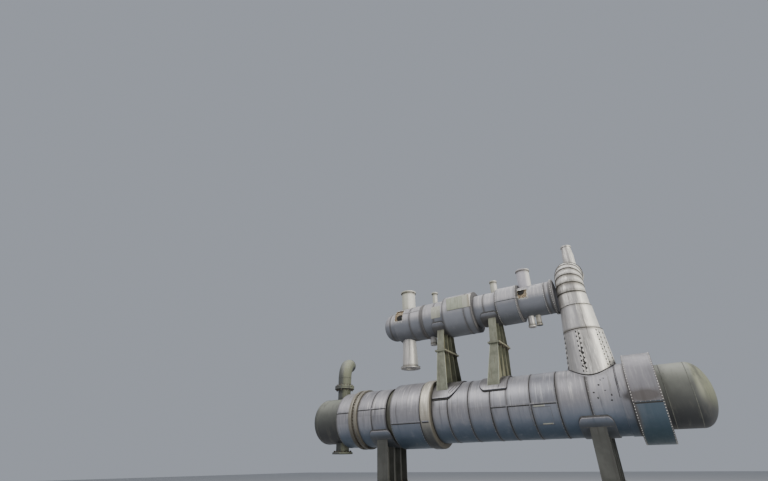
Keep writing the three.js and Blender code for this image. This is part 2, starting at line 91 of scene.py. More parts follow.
class Finish:
    def __init__(self, name, **fixed):
        self.material = bpy.data.materials.new(name)
        self.material.use_nodes = True
        self.tree = self.material.node_tree
        self.shader = self.tree.nodes["Principled BSDF"]
        for socket, value in fixed.items():
            self.shader.inputs[socket.replace("_", " ")].default_value = value
        self.place = self.node("ShaderNodeTexCoord", {}, {}, "Object")

    def plug(self, socket, value):
        if isinstance(value, Wire):
            self.tree.links.new(value.socket, socket)
        else:
            socket.default_value = value

    def node(self, kind, settings, links, output=0):
        made = self.tree.nodes.new(kind)
        for key, value in settings.items():
            setattr(made, key, value)
        for key, value in links.items():
            self.plug(made.inputs[key], value)
        return Wire(self, made.outputs[output])

    def noise(self, scale, stretch=(1, 1, 1), detail=4.0, roughness=0.55, away=0.0):
        mapped = {"Vector": self.place, "Scale": stretch, "Location": (away, away * 1.7, away * 0.6)}
        place = self.node("ShaderNodeMapping", {}, mapped)
        links = {"Vector": place, "Scale": scale, "Detail": detail, "Roughness": roughness}
        return self.node("ShaderNodeTexNoise", {}, links)

    def speckle(self, scale, stretch=(1, 1, 1)):
        place = self.node("ShaderNodeMapping", {}, {"Vector": self.place, "Scale": stretch})
        return self.node("ShaderNodeTexVoronoi", {}, {"Vector": place, "Scale": scale}, "Distance")

    def blend(self, share, first, second):
        colours = [value if isinstance(value, Wire) else (*value, 1.0) for value in (first, second)]
        settings = {"data_type": "RGBA", "clamp_factor": True}
        return self.node("ShaderNodeMix", settings, {0: share, 6: colours[0], 7: colours[1]}, 2)

    def layered(self, colour, look, layers):  # each layer has its colour's name in the look and its share
        for name, share in layers:
            colour = self.blend(share, colour, look[name])
        return colour

    def facing(self, axis):  # how much the surface looks along an axis
        normal = self.node("ShaderNodeNewGeometry", {}, {}, "Normal")
        return self.node("ShaderNodeSeparateXYZ", {}, {0: normal}, "XYZ".index(axis))

    def spot(self, axis):
        return self.node("ShaderNodeSeparateXYZ", {}, {0: self.place}, "XYZ".index(axis))

    def marked(self, name):  # a value that a piece carries on its mesh
        return self.node("ShaderNodeAttribute", {"attribute_name": name}, {}, "Fac")

    def done(self, colour, roughness, height=None, depth=0.01, strength=0.5):
        self.plug(self.shader.inputs["Base Color"], colour)
        self.plug(self.shader.inputs["Roughness"], roughness)
        if height is not None:
            links = {"Height": height, "Distance": depth, "Strength": strength}
            bump = self.node("ShaderNodeBump", {}, links)
            self.plug(self.shader.inputs["Normal"], bump)
        return self.material


def sheetMetal(name, look):
    f = Finish(name, Metallic=look["metal"])
    tone = f.marked("sheetTone")
    dirtAndShade = f.marked("seamDirtAndShade")
    cool = f.marked("panelShade")
    runs = f.noise(look["runScale"], look["runStretch"], 6.0, 0.68)
    wash = f.noise(look["runScale"] * 0.45, look["runStretch"], 5.0, 0.6, 3.1)
    cloud = f.noise(1.3, detail=4.0, away=1.4)
    patchy = f.noise(3.4, detail=5.0, roughness=0.62, away=7.0)
    fine = f.noise(46.0, detail=5.0, roughness=0.7)
    upward = f.facing("Z") + (patchy - 0.5) * 0.25
    # ends picks the faces that take a painted highlight, at both ends or on the side towards +X; lit takes it
    # off the panels with painted shade
    ends = f.facing("X").size() if look["bothEnds"] else f.facing("X") + (runs - 0.5) * 0.5
    lit = 1.0 - cool * 0.9 if look["bothEnds"] else 1.0
    layers = [
        ("patch", cloud.within(0.42, 0.72) * 0.4),
        ("wash", runs.within(0.48, 0.70) * (upward + 0.75).within(0.0, 1.2) * look["streak"]),
        ("grime", wash.within(0.54, 0.74) * look["streak"]),
        # painted shade: the marked panels turn darker and bluer, most of them below a lap
        ("side", cool * 0.85),
        # painted shade on the lower side, deeper as the faces turn down
        ("side", (look["sideFrom"] - upward).within(0.0, look["sideReach"]) * look["sideShare"]),
        # painted shade, near black, on the downward faces
        ("under", (-0.35 - upward).within(0.0, 0.6) * look["underShare"]),
        ("end", ends.within(*look["endFrom"]) * look["endShare"] * lit),
        ("patch", patchy.within(0.55, 0.8) * 0.3),
        # dirt and painted shade beside the seams and in the marked stains
        ("seamGrimeAndShade", (dirtAndShade * (0.5 + runs) + dirtAndShade * dirtAndShade * 0.5 - 0.15).clipped() * 0.75),
        ("grime", fine.within(0.62, 0.78) * 0.25),
    ]
    colour = f.layered(f.blend(tone, look["dull"], look["bright"]), look, layers)
    roughness = look["rough"] + (runs - 0.5) * 0.22 + (cloud - 0.5) * 0.2 + dirtAndShade * 0.12
    swell = f.noise(4.5, detail=2.0, away=5.0)
    height = cloud * 0.6 + swell * 0.35 + fine * 0.012 + runs * (look["streak"] * 0.08)
    return f.done(colour, roughness, height, 0.03, 0.55)


def wornPaint(name, look):
    f = Finish(name, Metallic=0.0)
    runs = f.noise(look["runScale"], look["runStretch"], 6.0, 0.66)
    cloud = f.noise(look["cloudScale"], detail=5.0, roughness=0.6, away=2.0)
    fine = f.noise(60.0, detail=4.0, roughness=0.7)
    chips = f.noise(9.0, detail=8.0, roughness=0.72, away=4.0)
    upward = f.facing("Z")
    # painted highlight on faces towards +X that are not turned down, such as a head's knuckle and the
    # pedestals' sides
    ends = (f.facing("X") + (runs - 0.5) * 0.3).within(*look["endFrom"])
    ends = ends * upward.within(look["endLow"], look["endLow"] + 0.6)
    layers = [
        # painted shade on the downward faces
        ("under", (0.0 - upward).within(look["underFrom"], 0.9) * look["underShare"]),
        # painted highlight on the upward faces
        ("top", upward.within(0.2, 1.0) * look["topShare"]),
        ("end", ends * look["endShare"]),
        ("grime", runs.within(0.50, 0.72) * 0.75),
        ("rust", chips.within(0.66, 0.70) * look["rustShare"]),
        ("shade", fine.within(0.55, 0.8) * 0.18),
    ]
    colour = f.layered(f.blend(cloud.within(0.35, 0.68), look["shade"], look["paint"]), look, layers)
    roughness = look["rough"] + (cloud - 0.5) * 0.2 + (runs - 0.5) * 0.1
    height = cloud * 0.3 + fine * 0.05 + chips.within(0.66, 0.70) * 0.08
    return f.done(colour, roughness, height, 0.012, 0.5)


def castConcrete():
    f = Finish("castConcrete", Metallic=0.0)
    cloud = f.noise(2.2, detail=6.0, roughness=0.6)
    runs = f.noise(7.0, (1.0, 1.0, 0.18), 5.0, 0.65)
    grit = f.noise(90.0, detail=3.0, roughness=0.7)
    pits = f.speckle(26.0)
    boards = f.noise(3.0, (0.4, 0.4, 9.0), 2.0, 0.5)
    low = (0.35 - f.spot("Z")).within(-0.1, 0.35)
    colour = f.blend(cloud.within(0.3, 0.7), (0.36, 0.35, 0.32), (0.50, 0.49, 0.45))
    colour = f.blend(runs.within(0.52, 0.74) * 0.6, colour, (0.23, 0.22, 0.19))
    colour = f.blend(low * 0.45, colour, (0.20, 0.19, 0.16))
    colour = f.blend(grit.within(0.55, 0.75) * 0.35, colour, (0.56, 0.55, 0.50))
    height = cloud * 0.4 + grit * 0.12 + pits.within(0.0, 0.12) * 0.25 + boards * 0.3
    return f.done(colour, 0.85 + (cloud - 0.5) * 0.2, height, 0.012, 0.6)


def plainMetal(name, colourA, colourB, metal, rough, scale=14.0):
    f = Finish(name, Metallic=metal)
    cloud = f.noise(scale, detail=5.0, roughness=0.65)
    fine = f.noise(scale * 9.0, detail=3.0)
    colour = f.blend(cloud.within(0.35, 0.68), colourA, colourB)
    return f.done(colour, rough + (fine - 0.5) * 0.25, cloud * 0.4 + fine * 0.3, 0.003, 0.4)


# In these looks side and under are painted shade colours for lower and downward faces and shaded panels, end
# is a painted highlight colour for faces along the axis, and the seam colour is dirt and painted shade.
claddingLook = {
    "streak": 0.75, "metal": 0.5, "rough": 0.47, "runScale": 1.0, "runStretch": (19.0, 1.3, 1.3),
    "dull": (0.218, 0.215, 0.235), "bright": (0.318, 0.312, 0.334), "patch": (0.27, 0.264, 0.28),
    "wash": (0.50, 0.49, 0.487), "grime": (0.12, 0.118, 0.12), "seamGrimeAndShade": (0.07, 0.065, 0.06),
    "side": (0.092, 0.122, 0.172), "sideFrom": 0.1, "sideReach": 0.9, "sideShare": 0.88,
    "under": (0.026, 0.05, 0.078), "underShare": 0.8,
    "end": (0.36, 0.35, 0.37), "endFrom": (0.8, 0.97), "endShare": 0.4, "bothEnds": True,
}
drumLook = {
    **claddingLook, "side": (0.045, 0.078, 0.11), "sideFrom": -0.05, "under": (0.016, 0.038, 0.052),
    "seamGrimeAndShade": (0.085, 0.075, 0.07), "dull": (0.155, 0.152, 0.168), "bright": (0.222, 0.217, 0.235),
    "patch": (0.19, 0.185, 0.20), "wash": (0.31, 0.305, 0.312), "streak": 0.6,
}
upperLook = {
    **claddingLook, "metal": 0.3, "rough": 0.58, "side": (0.15, 0.162, 0.19), "sideFrom": 0.2,
    "sideReach": 0.45, "sideShare": 0.9, "under": (0.085, 0.092, 0.105), "underShare": 0.9,
    "dull": (0.235, 0.23, 0.248), "bright": (0.335, 0.33, 0.35),
    "end": (0.44, 0.435, 0.45), "endShare": 0.9,
}
upperWideLook = {**upperLook, "side": (0.20, 0.213, 0.245), "under": (0.13, 0.14, 0.16)}
creamLook = {
    "streak": 0.9, "metal": 0.45, "rough": 0.46, "runScale": 1.3, "runStretch": (14.0, 1.4, 1.4),
    "dull": (0.33, 0.31, 0.265), "bright": (0.44, 0.42, 0.36), "patch": (0.36, 0.33, 0.28),
    "wash": (0.72, 0.69, 0.61), "grime": (0.15, 0.135, 0.10), "seamGrimeAndShade": (0.08, 0.07, 0.05),
    "side": (0.11, 0.115, 0.115), "sideFrom": -0.15, "sideReach": 0.5, "sideShare": 0.9,
    "under": (0.022, 0.026, 0.03), "underShare": 0.95,
    "end": (0.42, 0.40, 0.36), "endFrom": (0.8, 0.97), "endShare": 0.4, "bothEnds": True,
}
# the riser's end colour is a painted highlight on its side towards +X, and its side colour is the painted
# shade of its marked panels
riserLook = {
    **creamLook, "runStretch": (17.0, 14.0, 0.5), "metal": 0.4, "sideShare": 0.0, "streak": 1.0,
    "dull": (0.29, 0.28, 0.28), "bright": (0.46, 0.445, 0.43), "wash": (0.92, 0.90, 0.84),
    "grime": (0.075, 0.072, 0.062), "underShare": 0.4, "side": (0.30, 0.295, 0.31),
    "end": (0.93, 0.91, 0.83), "endFrom": (0.3, 0.8), "endShare": 0.85, "bothEnds": False,
}
nozzleLook = {
    **riserLook, "streak": 0.8, "metal": 0.15, "rough": 0.6, "dull": (0.28, 0.283, 0.24),
    "bright": (0.41, 0.415, 0.355), "grime": (0.17, 0.12, 0.07), "wash": (0.55, 0.55, 0.475),
    "patch": (0.38, 0.385, 0.32), "endFrom": (0.1, 0.8), "endShare": 0.7,
}
lavenderLook = {
    **nozzleLook, "grime": (0.15, 0.14, 0.14), "dull": (0.33, 0.32, 0.36), "bright": (0.42, 0.41, 0.45),
    "wash": (0.55, 0.53, 0.57), "patch": (0.36, 0.35, 0.38), "endFrom": (0.45, 0.9),
}
# In these paint looks under is painted shade on downward faces, top a painted highlight on upward faces, and
# end a painted highlight on faces towards +X.
headLook = {
    "end": (0.235, 0.247, 0.155), "endFrom": (0.12, 0.6), "endLow": -0.45, "endShare": 0.6,
    "rough": 0.58, "runScale": 1.0, "runStretch": (5.0, 2.0, 0.7), "cloudScale": 1.5,
    "paint": (0.108, 0.113, 0.10), "shade": (0.08, 0.083, 0.074), "under": (0.009, 0.011, 0.015),
    "underFrom": -0.6, "underShare": 1.0, "top": (0.30, 0.315, 0.265), "topShare": 0.6,
    "grime": (0.06, 0.061, 0.053), "rust": (0.16, 0.075, 0.035), "rustShare": 0.35,
}
oliveLook = {
    "end": (0.30, 0.285, 0.18), "endFrom": (0.4, 0.9), "endLow": -0.45, "endShare": 0.75,
    "rough": 0.6, "runScale": 1.6, "runStretch": (6.0, 6.0, 0.5), "cloudScale": 2.4,
    "paint": (0.175, 0.183, 0.137), "shade": (0.10, 0.106, 0.076), "under": (0.07, 0.07, 0.05),
    "underShare": 0.7, "underFrom": -0.2, "top": (0.30, 0.31, 0.24), "topShare": 0.4,
    "grime": (0.075, 0.07, 0.045), "rust": (0.20, 0.095, 0.04), "rustShare": 0.6,
}
greyLook = {
    **oliveLook, "paint": (0.068, 0.07, 0.065), "shade": (0.044, 0.046, 0.042), "grime": (0.035, 0.034, 0.03),
    "rustShare": 0.35, "end": (0.12, 0.122, 0.11),
}
paleLook = {
    **oliveLook, "paint": (0.36, 0.385, 0.31), "shade": (0.28, 0.30, 0.235), "grime": (0.18, 0.18, 0.14),
    "rustShare": 0.3, "runStretch": (7.0, 7.0, 0.5), "endShare": 0.2,
}
bandLook = {
    **oliveLook, "paint": (0.085, 0.085, 0.065), "shade": (0.045, 0.045, 0.035), "top": (0.17, 0.17, 0.13),
}

clad = sheetMetal("weatheredCladding", claddingLook)
cladDrum = sheetMetal("drumCladding", drumLook)
cladUpper = sheetMetal("upperCladding", upperLook)
cladUpperWide = sheetMetal("upperWideCladding", upperWideLook)
cladCream = sheetMetal("brightCladding", creamLook)
cladRiser = sheetMetal("riserCladding", riserLook)
cladNozzle = sheetMetal("paleNozzleCladding", nozzleLook)
cladLavender = sheetMetal("lavenderNozzleCladding", lavenderLook)
headPaint = wornPaint("bareHeadPaint", headLook)
olivePaint = wornPaint("olivePaint", oliveLook)
greyPaint = wornPaint("greySaddlePaint", greyLook)
palePaint = wornPaint("paleBoxPaint", paleLook)
bandPaint = wornPaint("darkBandPaint", bandLook)
concrete = castConcrete()
# the two dark finishes are sealant and painted shadow in seams, gaps and outlines; they also serve dark
# rivets and flecks
sealantAndShade = plainMetal("seamSealantAndShade", (0.010, 0.0095, 0.009), (0.028, 0.026, 0.024), 0.0, 0.85)
softSealantAndShade = plainMetal("softSealantAndShade", (0.055, 0.054, 0.055), (0.12, 0.118, 0.12), 0.1, 0.7)
rivetSteel = plainMetal("rivetSteel", (0.50, 0.49, 0.47), (0.66, 0.65, 0.62), 0.7, 0.35)
dullRivet = plainMetal("dullRivet", (0.14, 0.138, 0.135), (0.30, 0.295, 0.29), 0.4, 0.5)
boltSteel = plainMetal("boltSteel", (0.075, 0.06, 0.045), (0.15, 0.125, 0.095), 0.6, 0.55)
weldSteel = plainMetal("weldSteel", (0.06, 0.063, 0.055), (0.11, 0.114, 0.098), 0.0, 0.65)


def outwards(angle):  # a direction square to the vessels, angle from +Y towards +Z
    return Vector((0, math.cos(math.radians(angle)), math.sin(math.radians(angle))))


def onVessel(station, radius, angle, axisHeight):  # a point and its outward direction
    out = outwards(angle)
    return Vector((along(station), 0, axisHeight)) + out * radius, out


def tornInsulation(name, hollows):  # painted shade, nearly black, in the middle of each hollow; ragged and pale around it
    f = Finish(name, Metallic=0.0)
    fine = f.noise(24.0, detail=6.0, roughness=0.75)
    colour = f.blend(fine.within(0.38, 0.62), (0.09, 0.07, 0.045), (0.40, 0.32, 0.22))
    for station, radius, angle, reach in hollows:
        centre = onVessel(station, radius, angle, upperAxis)[0]
        away = f.node("ShaderNodeVectorMath", {"operation": "DISTANCE"}, {0: f.place, 1: centre}, "Value")
        colour = f.blend((reach - away + (fine - 0.5) * 0.2).within(0.0, 0.03), colour, (0.008, 0.007, 0.006))
    return f.done(colour, 0.9 + (fine - 0.5) * 0.15, fine, 0.01, 0.8)


openInsulation = tornInsulation("openInsulation", [(2.58, 0.65, 163, 0.17), (7.61, 0.54, 153, 0.14)])
print("finishes made")


# Ways of working
sharpEdge = 50  # degrees from which an edge is rounded


def deselectAll():
    if bpy.context.mode != "OBJECT":
        bpy.ops.object.mode_set(mode="OBJECT")
    bpy.ops.object.select_all(action="DESELECT")


def openMesh():  # into edit mode, with everything selected
    bpy.ops.object.mode_set(mode="EDIT")
    bpy.ops.mesh.select_all(action="SELECT")


def closeMesh():
    bpy.ops.object.mode_set(mode="OBJECT")


def pick(piece):
    deselectAll()
    piece.select_set(True)
    bpy.context.view_layer.objects.active = piece


def settle(piece):  # its place goes into its mesh
    pick(piece)
    bpy.ops.object.transform_apply(location=True, rotation=True, scale=True)
    return piece


def named(piece, name):
    piece.name = piece.data.name = name
    return piece


def modified(piece, kind, **settings):
    pick(piece)
    bpy.ops.object.modifier_add(type=kind)
    modifier = piece.modifiers[-1]
    for key, value in settings.items():
        setattr(modifier, key, value)
    bpy.ops.object.modifier_apply(modifier=modifier.name)
    return piece


def rounded(piece, width, segments=2):
    return modified(piece, "BEVEL", width=width, segments=segments, limit_method="ANGLE",
                    angle_limit=math.radians(sharpEdge))


def bevelled(piece, edge):  # all its edges
    openMesh()
    bpy.ops.mesh.bevel(offset=edge, segments=1, affect="EDGES")
    closeMesh()
    return piece


def smooth(piece, degrees=38):
    pick(piece)
    bpy.ops.object.shade_smooth_by_angle(angle=math.radians(degrees))
    return piece


def dented(piece, size, depth):
    cloud = bpy.data.textures.new(piece.name + "Dents", "CLOUDS")
    cloud.noise_scale = size
    cloud.noise_depth = 1
    return modified(piece, "DISPLACE", texture=cloud, strength=depth, mid_level=0.5, texture_coords="LOCAL")


def joined(name, parts):
    deselectAll()
    for part in parts:
        part.select_set(True)
    bpy.context.view_layer.objects.active = parts[0]
    if len(parts) > 1:
        bpy.ops.object.join()
    return named(bpy.context.view_layer.objects.active, name)


def cutWith(piece, tool, operation="DIFFERENCE"):
    modified(piece, "BOOLEAN", operation=operation, solver="EXACT", object=tool, material_mode="TRANSFER")
    bpy.data.objects.remove(tool)
    return piece


def finished(piece, finish, slot, *nodes):
    if finish is not None:
        piece.data.materials.clear()
        piece.data.materials.append(finish)
    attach(piece, "root")
    if nodes:
        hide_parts(*nodes)
    return piece


def trim(name, parts, finish, slot="cladding", degrees=38):  # small parts as one piece
    return finished(smooth(joined(name, parts), degrees), finish, slot)


def lyingCylinder(radius, length, x, height, sides):  # along X, to cut with or to wrap onto
    deselectAll()
    bpy.ops.mesh.primitive_cylinder_add(vertices=sides, radius=radius, depth=length,
                                        rotation=(0, math.pi / 2, 0), location=(x, 0, height))
    return settle(bpy.context.object)


def chain(name, points):  # edges drawn on from corner to corner, left open and selected
    deselectAll()
    bpy.ops.mesh.primitive_plane_add(size=0.01, location=points[0])
    piece = settle(named(bpy.context.object, name))
    openMesh()
    bpy.ops.mesh.merge(type="CENTER")
    for here, there in zip(points, points[1:]):
        bpy.ops.mesh.extrude_vertices_move(TRANSFORM_OT_translate={"value": there - here})
    bpy.ops.mesh.select_all(action="SELECT")
    return piece


axes = {"X": (Vector((1, 0, 0)), Vector((0, 0, 1))), "Z": (Vector((0, 0, 1)), Vector((1, 0, 0)))}


# A chain of corners (run along the axis, distance out from it) spun about the axis
def turned(name, corners, centre, axis, sides=96, step=None):
    direction, outward = axes[axis]
    if step:
        corners = denser(corners, step)
    piece = chain(name, [Vector(centre) + direction * run + outward * out for run, out in corners])
    bpy.ops.mesh.spin(steps=sides, angle=math.tau, center=centre, axis=direction)
    bpy.ops.mesh.select_all(action="SELECT")
    bpy.ops.mesh.remove_doubles(threshold=0.0002)
    bpy.ops.mesh.normals_make_consistent(inside=False)
    closeMesh()
    return piece


def closedLoop(corners):
    return [*corners, corners[0]]


def denser(corners, step):
    filled = [corners[0]]
    for here, there in zip(corners, corners[1:]):
        count = max(1, math.ceil(math.dist(here, there) / step))
        for i in range(1, count + 1):
            filled.append(tuple(a + (b - a) * i / count for a, b in zip(here, there)))
    return filled


def turnedOnVessel(name, corners, axisHeight, step=None, sides=96):
    stationed = [(along(station), out) for station, out in corners]
    return turned(name, stationed, (0, 0, axisHeight), "X", sides, step)


def bar(name, size, place, turn=(0, 0, 0), edge=0.003):
    deselectAll()
    bpy.ops.mesh.primitive_cube_add(size=1, location=place, rotation=turn, scale=size)
    piece = settle(named(bpy.context.object, name))
    return bevelled(piece, edge) if edge else piece


def strip(name, here, there, width, height, outward):  # a flat bar between two points, its broad side out
    run = there - here
    forth = run.normalized()
    side = outward.cross(forth).normalized()
    placed = Matrix((forth * run.length, side * width, forth.cross(side) * height)).transposed().to_4x4()
    placed.translation = (here + there) / 2
    deselectAll()
    bpy.ops.mesh.primitive_cube_add(size=1)
    piece = named(bpy.context.object, name)
    piece.matrix_world = placed
    return settle(piece)


def scattered(name, model, places):
    gathered = bmesh.new()
    for place in places:
        own = model.data.copy()
        own.transform(place)
        gathered.from_mesh(own)
        bpy.data.meshes.remove(own)
    mesh = bpy.data.meshes.new(name)
    gathered.to_mesh(mesh)
    gathered.free()
    piece = bpy.data.objects.new(name, mesh)
    bpy.context.scene.collection.objects.link(piece)
    return piece


def standing(point, direction):  # puts a model's foot on a point, its top along a direction
    return Matrix.Translation(point) @ Vector(direction).to_track_quat("Z", "Y").to_matrix().to_4x4()


def evenly(start, end, count):  # the middles of equal steps
    step = (end - start) / count
    return [start + step * (i + 0.5) for i in range(count)]


dirtAndShadeReach = 0.035  # how far the dirt and painted shade spread from a seam
dirtAndShadeLimit = 1.2


def nothing(point):
    return 0.0


def farFromSeams(point):
    return 1.0


# Tone of each sheet, dirt and painted shade beside its seams and the painted shade of some panels, all kept
# on the mesh
def marked(piece, sheetOf, seamDistance, tones=(0.0, 1.0), coolOf=nothing, stainAndShadeOf=nothing):
    mesh = piece.data
    sheets = [sheetOf(face.center) for face in mesh.polygons]
    toneOf = {sheet: chance.uniform(*tones) for sheet in sorted(set(sheets))}  # in a fixed order
    tone = mesh.attributes.new("sheetTone", "FLOAT", "FACE")
    cool = mesh.attributes.new("panelShade", "FLOAT", "FACE")
    for face, sheet in zip(mesh.polygons, sheets):
        tone.data[face.index].value = toneOf[sheet]
        cool.data[face.index].value = coolOf(face.center)
    dirtAndShade = mesh.attributes.new("seamDirtAndShade", "FLOAT", "POINT")
    for vertex in mesh.vertices:
        dirtAndShadeHere = math.exp(-seamDistance(vertex.co) / dirtAndShadeReach) + stainAndShadeOf(vertex.co)
        dirtAndShade.data[vertex.index].value = min(dirtAndShadeLimit, dirtAndShadeHere)


def markPlain(piece, tones=(0.0, 1.0)):
    marked(piece, nothing, farFromSeams, tones)


# Stops are where sheets end along the axis, and laps are the angles where they end around it
def markSheets(piece, axis, centre, stops, laps, tones=(0.0, 1.0), cool=(), stainsAndShade=(), lapEnd=math.inf):
    index = "XYZ".index(axis)
    a, b = (i for i in range(3) if i != index)

    def runOf(point):
        return point[index] - centre[index]

    def angleOf(point):
        return math.degrees(math.atan2(point[b] - centre[b], point[a] - centre[a]))

    def sheetOf(point):
        run = runOf(point)
        return sum(run > stop for stop in stops), sum(angleOf(point) > lap for lap in laps) * (run < lapEnd)

    def seamDistance(point):
        return min(abs(runOf(point) - stop) for stop in stops)

    def coolOf(point):  # each panel with painted shade has its start, end, lowest and highest angle and share
        run, angle = runOf(point), angleOf(point)
        return max((share for start, end, low, high, share in cool
                    if start < run < end and low < angle < high), default=0.0)

    def stainAndShadeOf(point):  # stains of dirt and patches of painted shade alike each have their place and angle, their reach along and around, and their share
        run, angle = runOf(point), angleOf(point)
        offs = [((run - at) / reach, ((angle - turn + 180) % 360 - 180) / spread, share)
                for at, turn, reach, spread, share in stainsAndShade]
        return max([share * math.exp(-forth ** 2 - around ** 2) for forth, around, share in offs], default=0)

    marked(piece, sheetOf, seamDistance, tones, coolOf, stainAndShadeOf)


def markVessel(piece, axisHeight, stops, laps=(), tones=(0.0, 1.0), **more):
    markSheets(piece, "X", (stationZero, 0, axisHeight), stops, laps, tones, **more)


# Small parts that repeat, each modelled once
rivet = {"radius": 0.0125, "height": 0.006}


def makeRivet(spec):
    deselectAll()
    bpy.ops.mesh.primitive_uv_sphere_add(segments=8, ring_count=6, radius=1)
    piece = named(bpy.context.object, "rivetModel")
    openMesh()
    bpy.ops.mesh.bisect(plane_co=(0, 0, 0), plane_no=(0, 0, 1), clear_inner=True, use_fill=True)
    closeMesh()
    piece.scale = (spec["radius"], spec["radius"], spec["height"])
    return smooth(settle(piece), 60)


def makeStud(nut, pin, reach):  # a nut standing on its foot, with the pin's end through it
    deselectAll()
    height = nut * 0.9
    bpy.ops.mesh.primitive_cylinder_add(vertices=6, radius=nut, depth=height, location=(0, 0, height / 2))
    body = settle(bevelled(bpy.context.object, nut * 0.1))
    bpy.ops.mesh.primitive_cylinder_add(vertices=10, radius=pin, depth=reach, location=(0, 0, reach / 2))
    end = settle(bevelled(bpy.context.object, pin * 0.2))
    return joined("studModel", [body, end])


rivetModel = makeRivet(rivet)


def rivetRing(station, radius, axisHeight, pitch, angles=(0, 360)):
    count = round(math.radians(angles[1] - angles[0]) * radius / pitch)
    return [standing(*onVessel(station, radius, angle, axisHeight)) for angle in evenly(*angles, count)]


def rivetRow(start, end, radius, angle, axisHeight, pitch):
    stations = evenly(start, end, round((end - start) / pitch))
    return [standing(*onVessel(station, radius, angle, axisHeight)) for station in stations]


def seamRing(station, radius, axisHeight, width, height=0.005, sides=96):
    low, high = along(station) - width / 2, along(station) + width / 2
    corners = [(low, radius - 0.01), (low, radius), (low + width * 0.25, radius + height),
               (high - width * 0.25, radius + height), (high, radius), (high, radius - 0.01)]
    return turned("seamRing", closedLoop(corners), (0, 0, axisHeight), "X", sides)


def arcOf(ring, low, high, axisHeight):  # the part of a ring between two angles at most half a turn apart
    pick(ring)
    for angle in (low + 90, high - 90):
        openMesh()
        bpy.ops.mesh.bisect(plane_co=(0, 0, axisHeight), plane_no=outwards(angle), clear_inner=True,
                            use_fill=True)
    closeMesh()
    return ring


def lapBar(start, end, radius, angle, axisHeight, width, height):
    point, _ = onVessel((start + end) / 2, radius, angle, axisHeight)
    turn = (math.radians(angle - 90), 0, 0)
    return bar("lapBar", (end - start, width, height), point, turn, height * 0.3)


# Open places in the upper vessel's cladding
rearPocket = {"start": 2.37, "end": 2.735, "low": 128, "high": 179, "floor": 0.643, "torn": 0.05,
              "edge": "rearTornSheet", "scraps": 34}
frontPocket = {"start": 7.49, "end": 7.84, "low": 143.5, "high": 182, "floor": 0.532, "torn": 0.04,
               "edge": "frontTornSheet", "scraps": 30}
pocketBlock = {"lift": 0.05, "height": 0.34, "cuts": 7, "tear": 0.09}


def pocketTool(spec, block):  # a block that follows the vessel, with torn edges
    middle = (spec["low"] + spec["high"]) / 2
    half = math.radians(spec["high"] - spec["low"]) / 2
    point, _ = onVessel((spec["start"] + spec["end"]) / 2, spec["floor"] + block["lift"], middle, upperAxis)
    size = (spec["end"] - spec["start"], 2 * spec["floor"] * math.sin(half), block["height"])
    tool = bar("pocketTool", size, point, (math.radians(middle - 90), 0, 0), 0)
    openMesh()
    bpy.ops.mesh.subdivide(number_cuts=block["cuts"])
    closeMesh()
    dented(tool, block["tear"], spec["torn"])
    cutWith(tool, lyingCylinder(spec["floor"], 6, along(spec["start"]), upperAxis, 96))
    tool.data.materials.clear()
    tool.data.materials.append(openInsulation)
    return tool


def tornEdges(spec, radius):  # curled scraps of sheet around an open place
    scraps = []
    for i in range(spec["scraps"]):
        edge, share = divmod(4 * i / spec["scraps"], 1)
        side = int(edge)
        off = chance.uniform(-0.4, 0.5) * 0.12
        run = (0, share, 1, 1 - share)[side] + off * (-1, 0, 1, 0)[side]
        turn = (share, 1, 1 - share, 0)[side] + off * (0, 1, 0, -1)[side]
        station = spec["start"] + (spec["end"] - spec["start"]) * run
        angle = spec["low"] + (spec["high"] - spec["low"]) * turn
        size = (chance.uniform(0.02, 0.06), chance.uniform(0.02, 0.05), 0.003)
        lean = chance.uniform(-0.6, 0.6)
        tilt = (math.radians(angle - 90) + lean, chance.uniform(-0.5, 0.5), chance.uniform(-1, 1))
        scraps.append(bar("scrap", size, onVessel(station, radius, angle, upperAxis)[0], tilt, 0.001))
    piece = joined(spec["edge"], scraps)
    markPlain(piece, (0.8, 1.0))
    finished(piece, cladNozzle, "cladding")


# Clad barrels. A bead is the line across a seam: how far along from it and out from the sheet.
wideBead = [(-0.050, 0), (-0.042, 0.007), (-0.016, 0.007), (-0.012, -0.004), (0.012, -0.004), (0.014, 0)]
rearBead = [(-0.045, 0), (-0.04, 0.003), (-0.012, 0.003), (-0.010, -0.004), (0.010, -0.004), (0.012, 0)]
frontBead = [(-0.04, 0), (-0.035, 0.003), (-0.012, 0.003), (-0.009, -0.004), (0.009, -0.004), (0.011, 0)]


def makeBarrel(spec, axisHeight):
    start, end, radius, finish = (spec[key] for key in ("start", "end", "radius", "finish"))
    inner, seams, hole = radius - spec["wall"], spec.get("seams", []), spec.get("hole")
    corners = [(start, spec.get("startInner", inner)), (start, radius)]
    for seam in seams:
        corners += [(seam + run, radius + out) for run, out in spec.get("bead", wideBead)]
    corners += spec.get("tail", []) + [(end, spec.get("endRadius", radius)), (end, inner)]
    corners += spec.get("lining", [])
    step, sides = spec.get("step", 0.11), spec.get("sides", 112)
    piece = turnedOnVessel(spec["name"], closedLoop(corners), axisHeight, step, sides)
    if "edge" in spec:
        rounded(piece, spec["edge"], 3)
    if "dent" in spec:
        dented(piece, spec.get("dentSize", 0.45), spec["dent"])
    if hole:
        piece.data.materials.append(finish)
        cutWith(piece, pocketTool(hole, pocketBlock))
    more = {key: spec[key] for key in ("laps", "tones", "cool", "stainsAndShade", "lapEnd") if key in spec}
    markVessel(piece, axisHeight, spec.get("stops", [start, *seams, end]), **more)
    finished(smooth(piece), None if hole else finish, spec.get("slot", "cladding"), spec["node"])
    if hole:
        tornEdges(hole, radius)


def coolBelow(start, end, angle, step, share, count):  # panels whose painted shade deepens in steps downwards
    return [(start, end, angle + step * i, -20, share * (i + 1) / count) for i in range(count)]


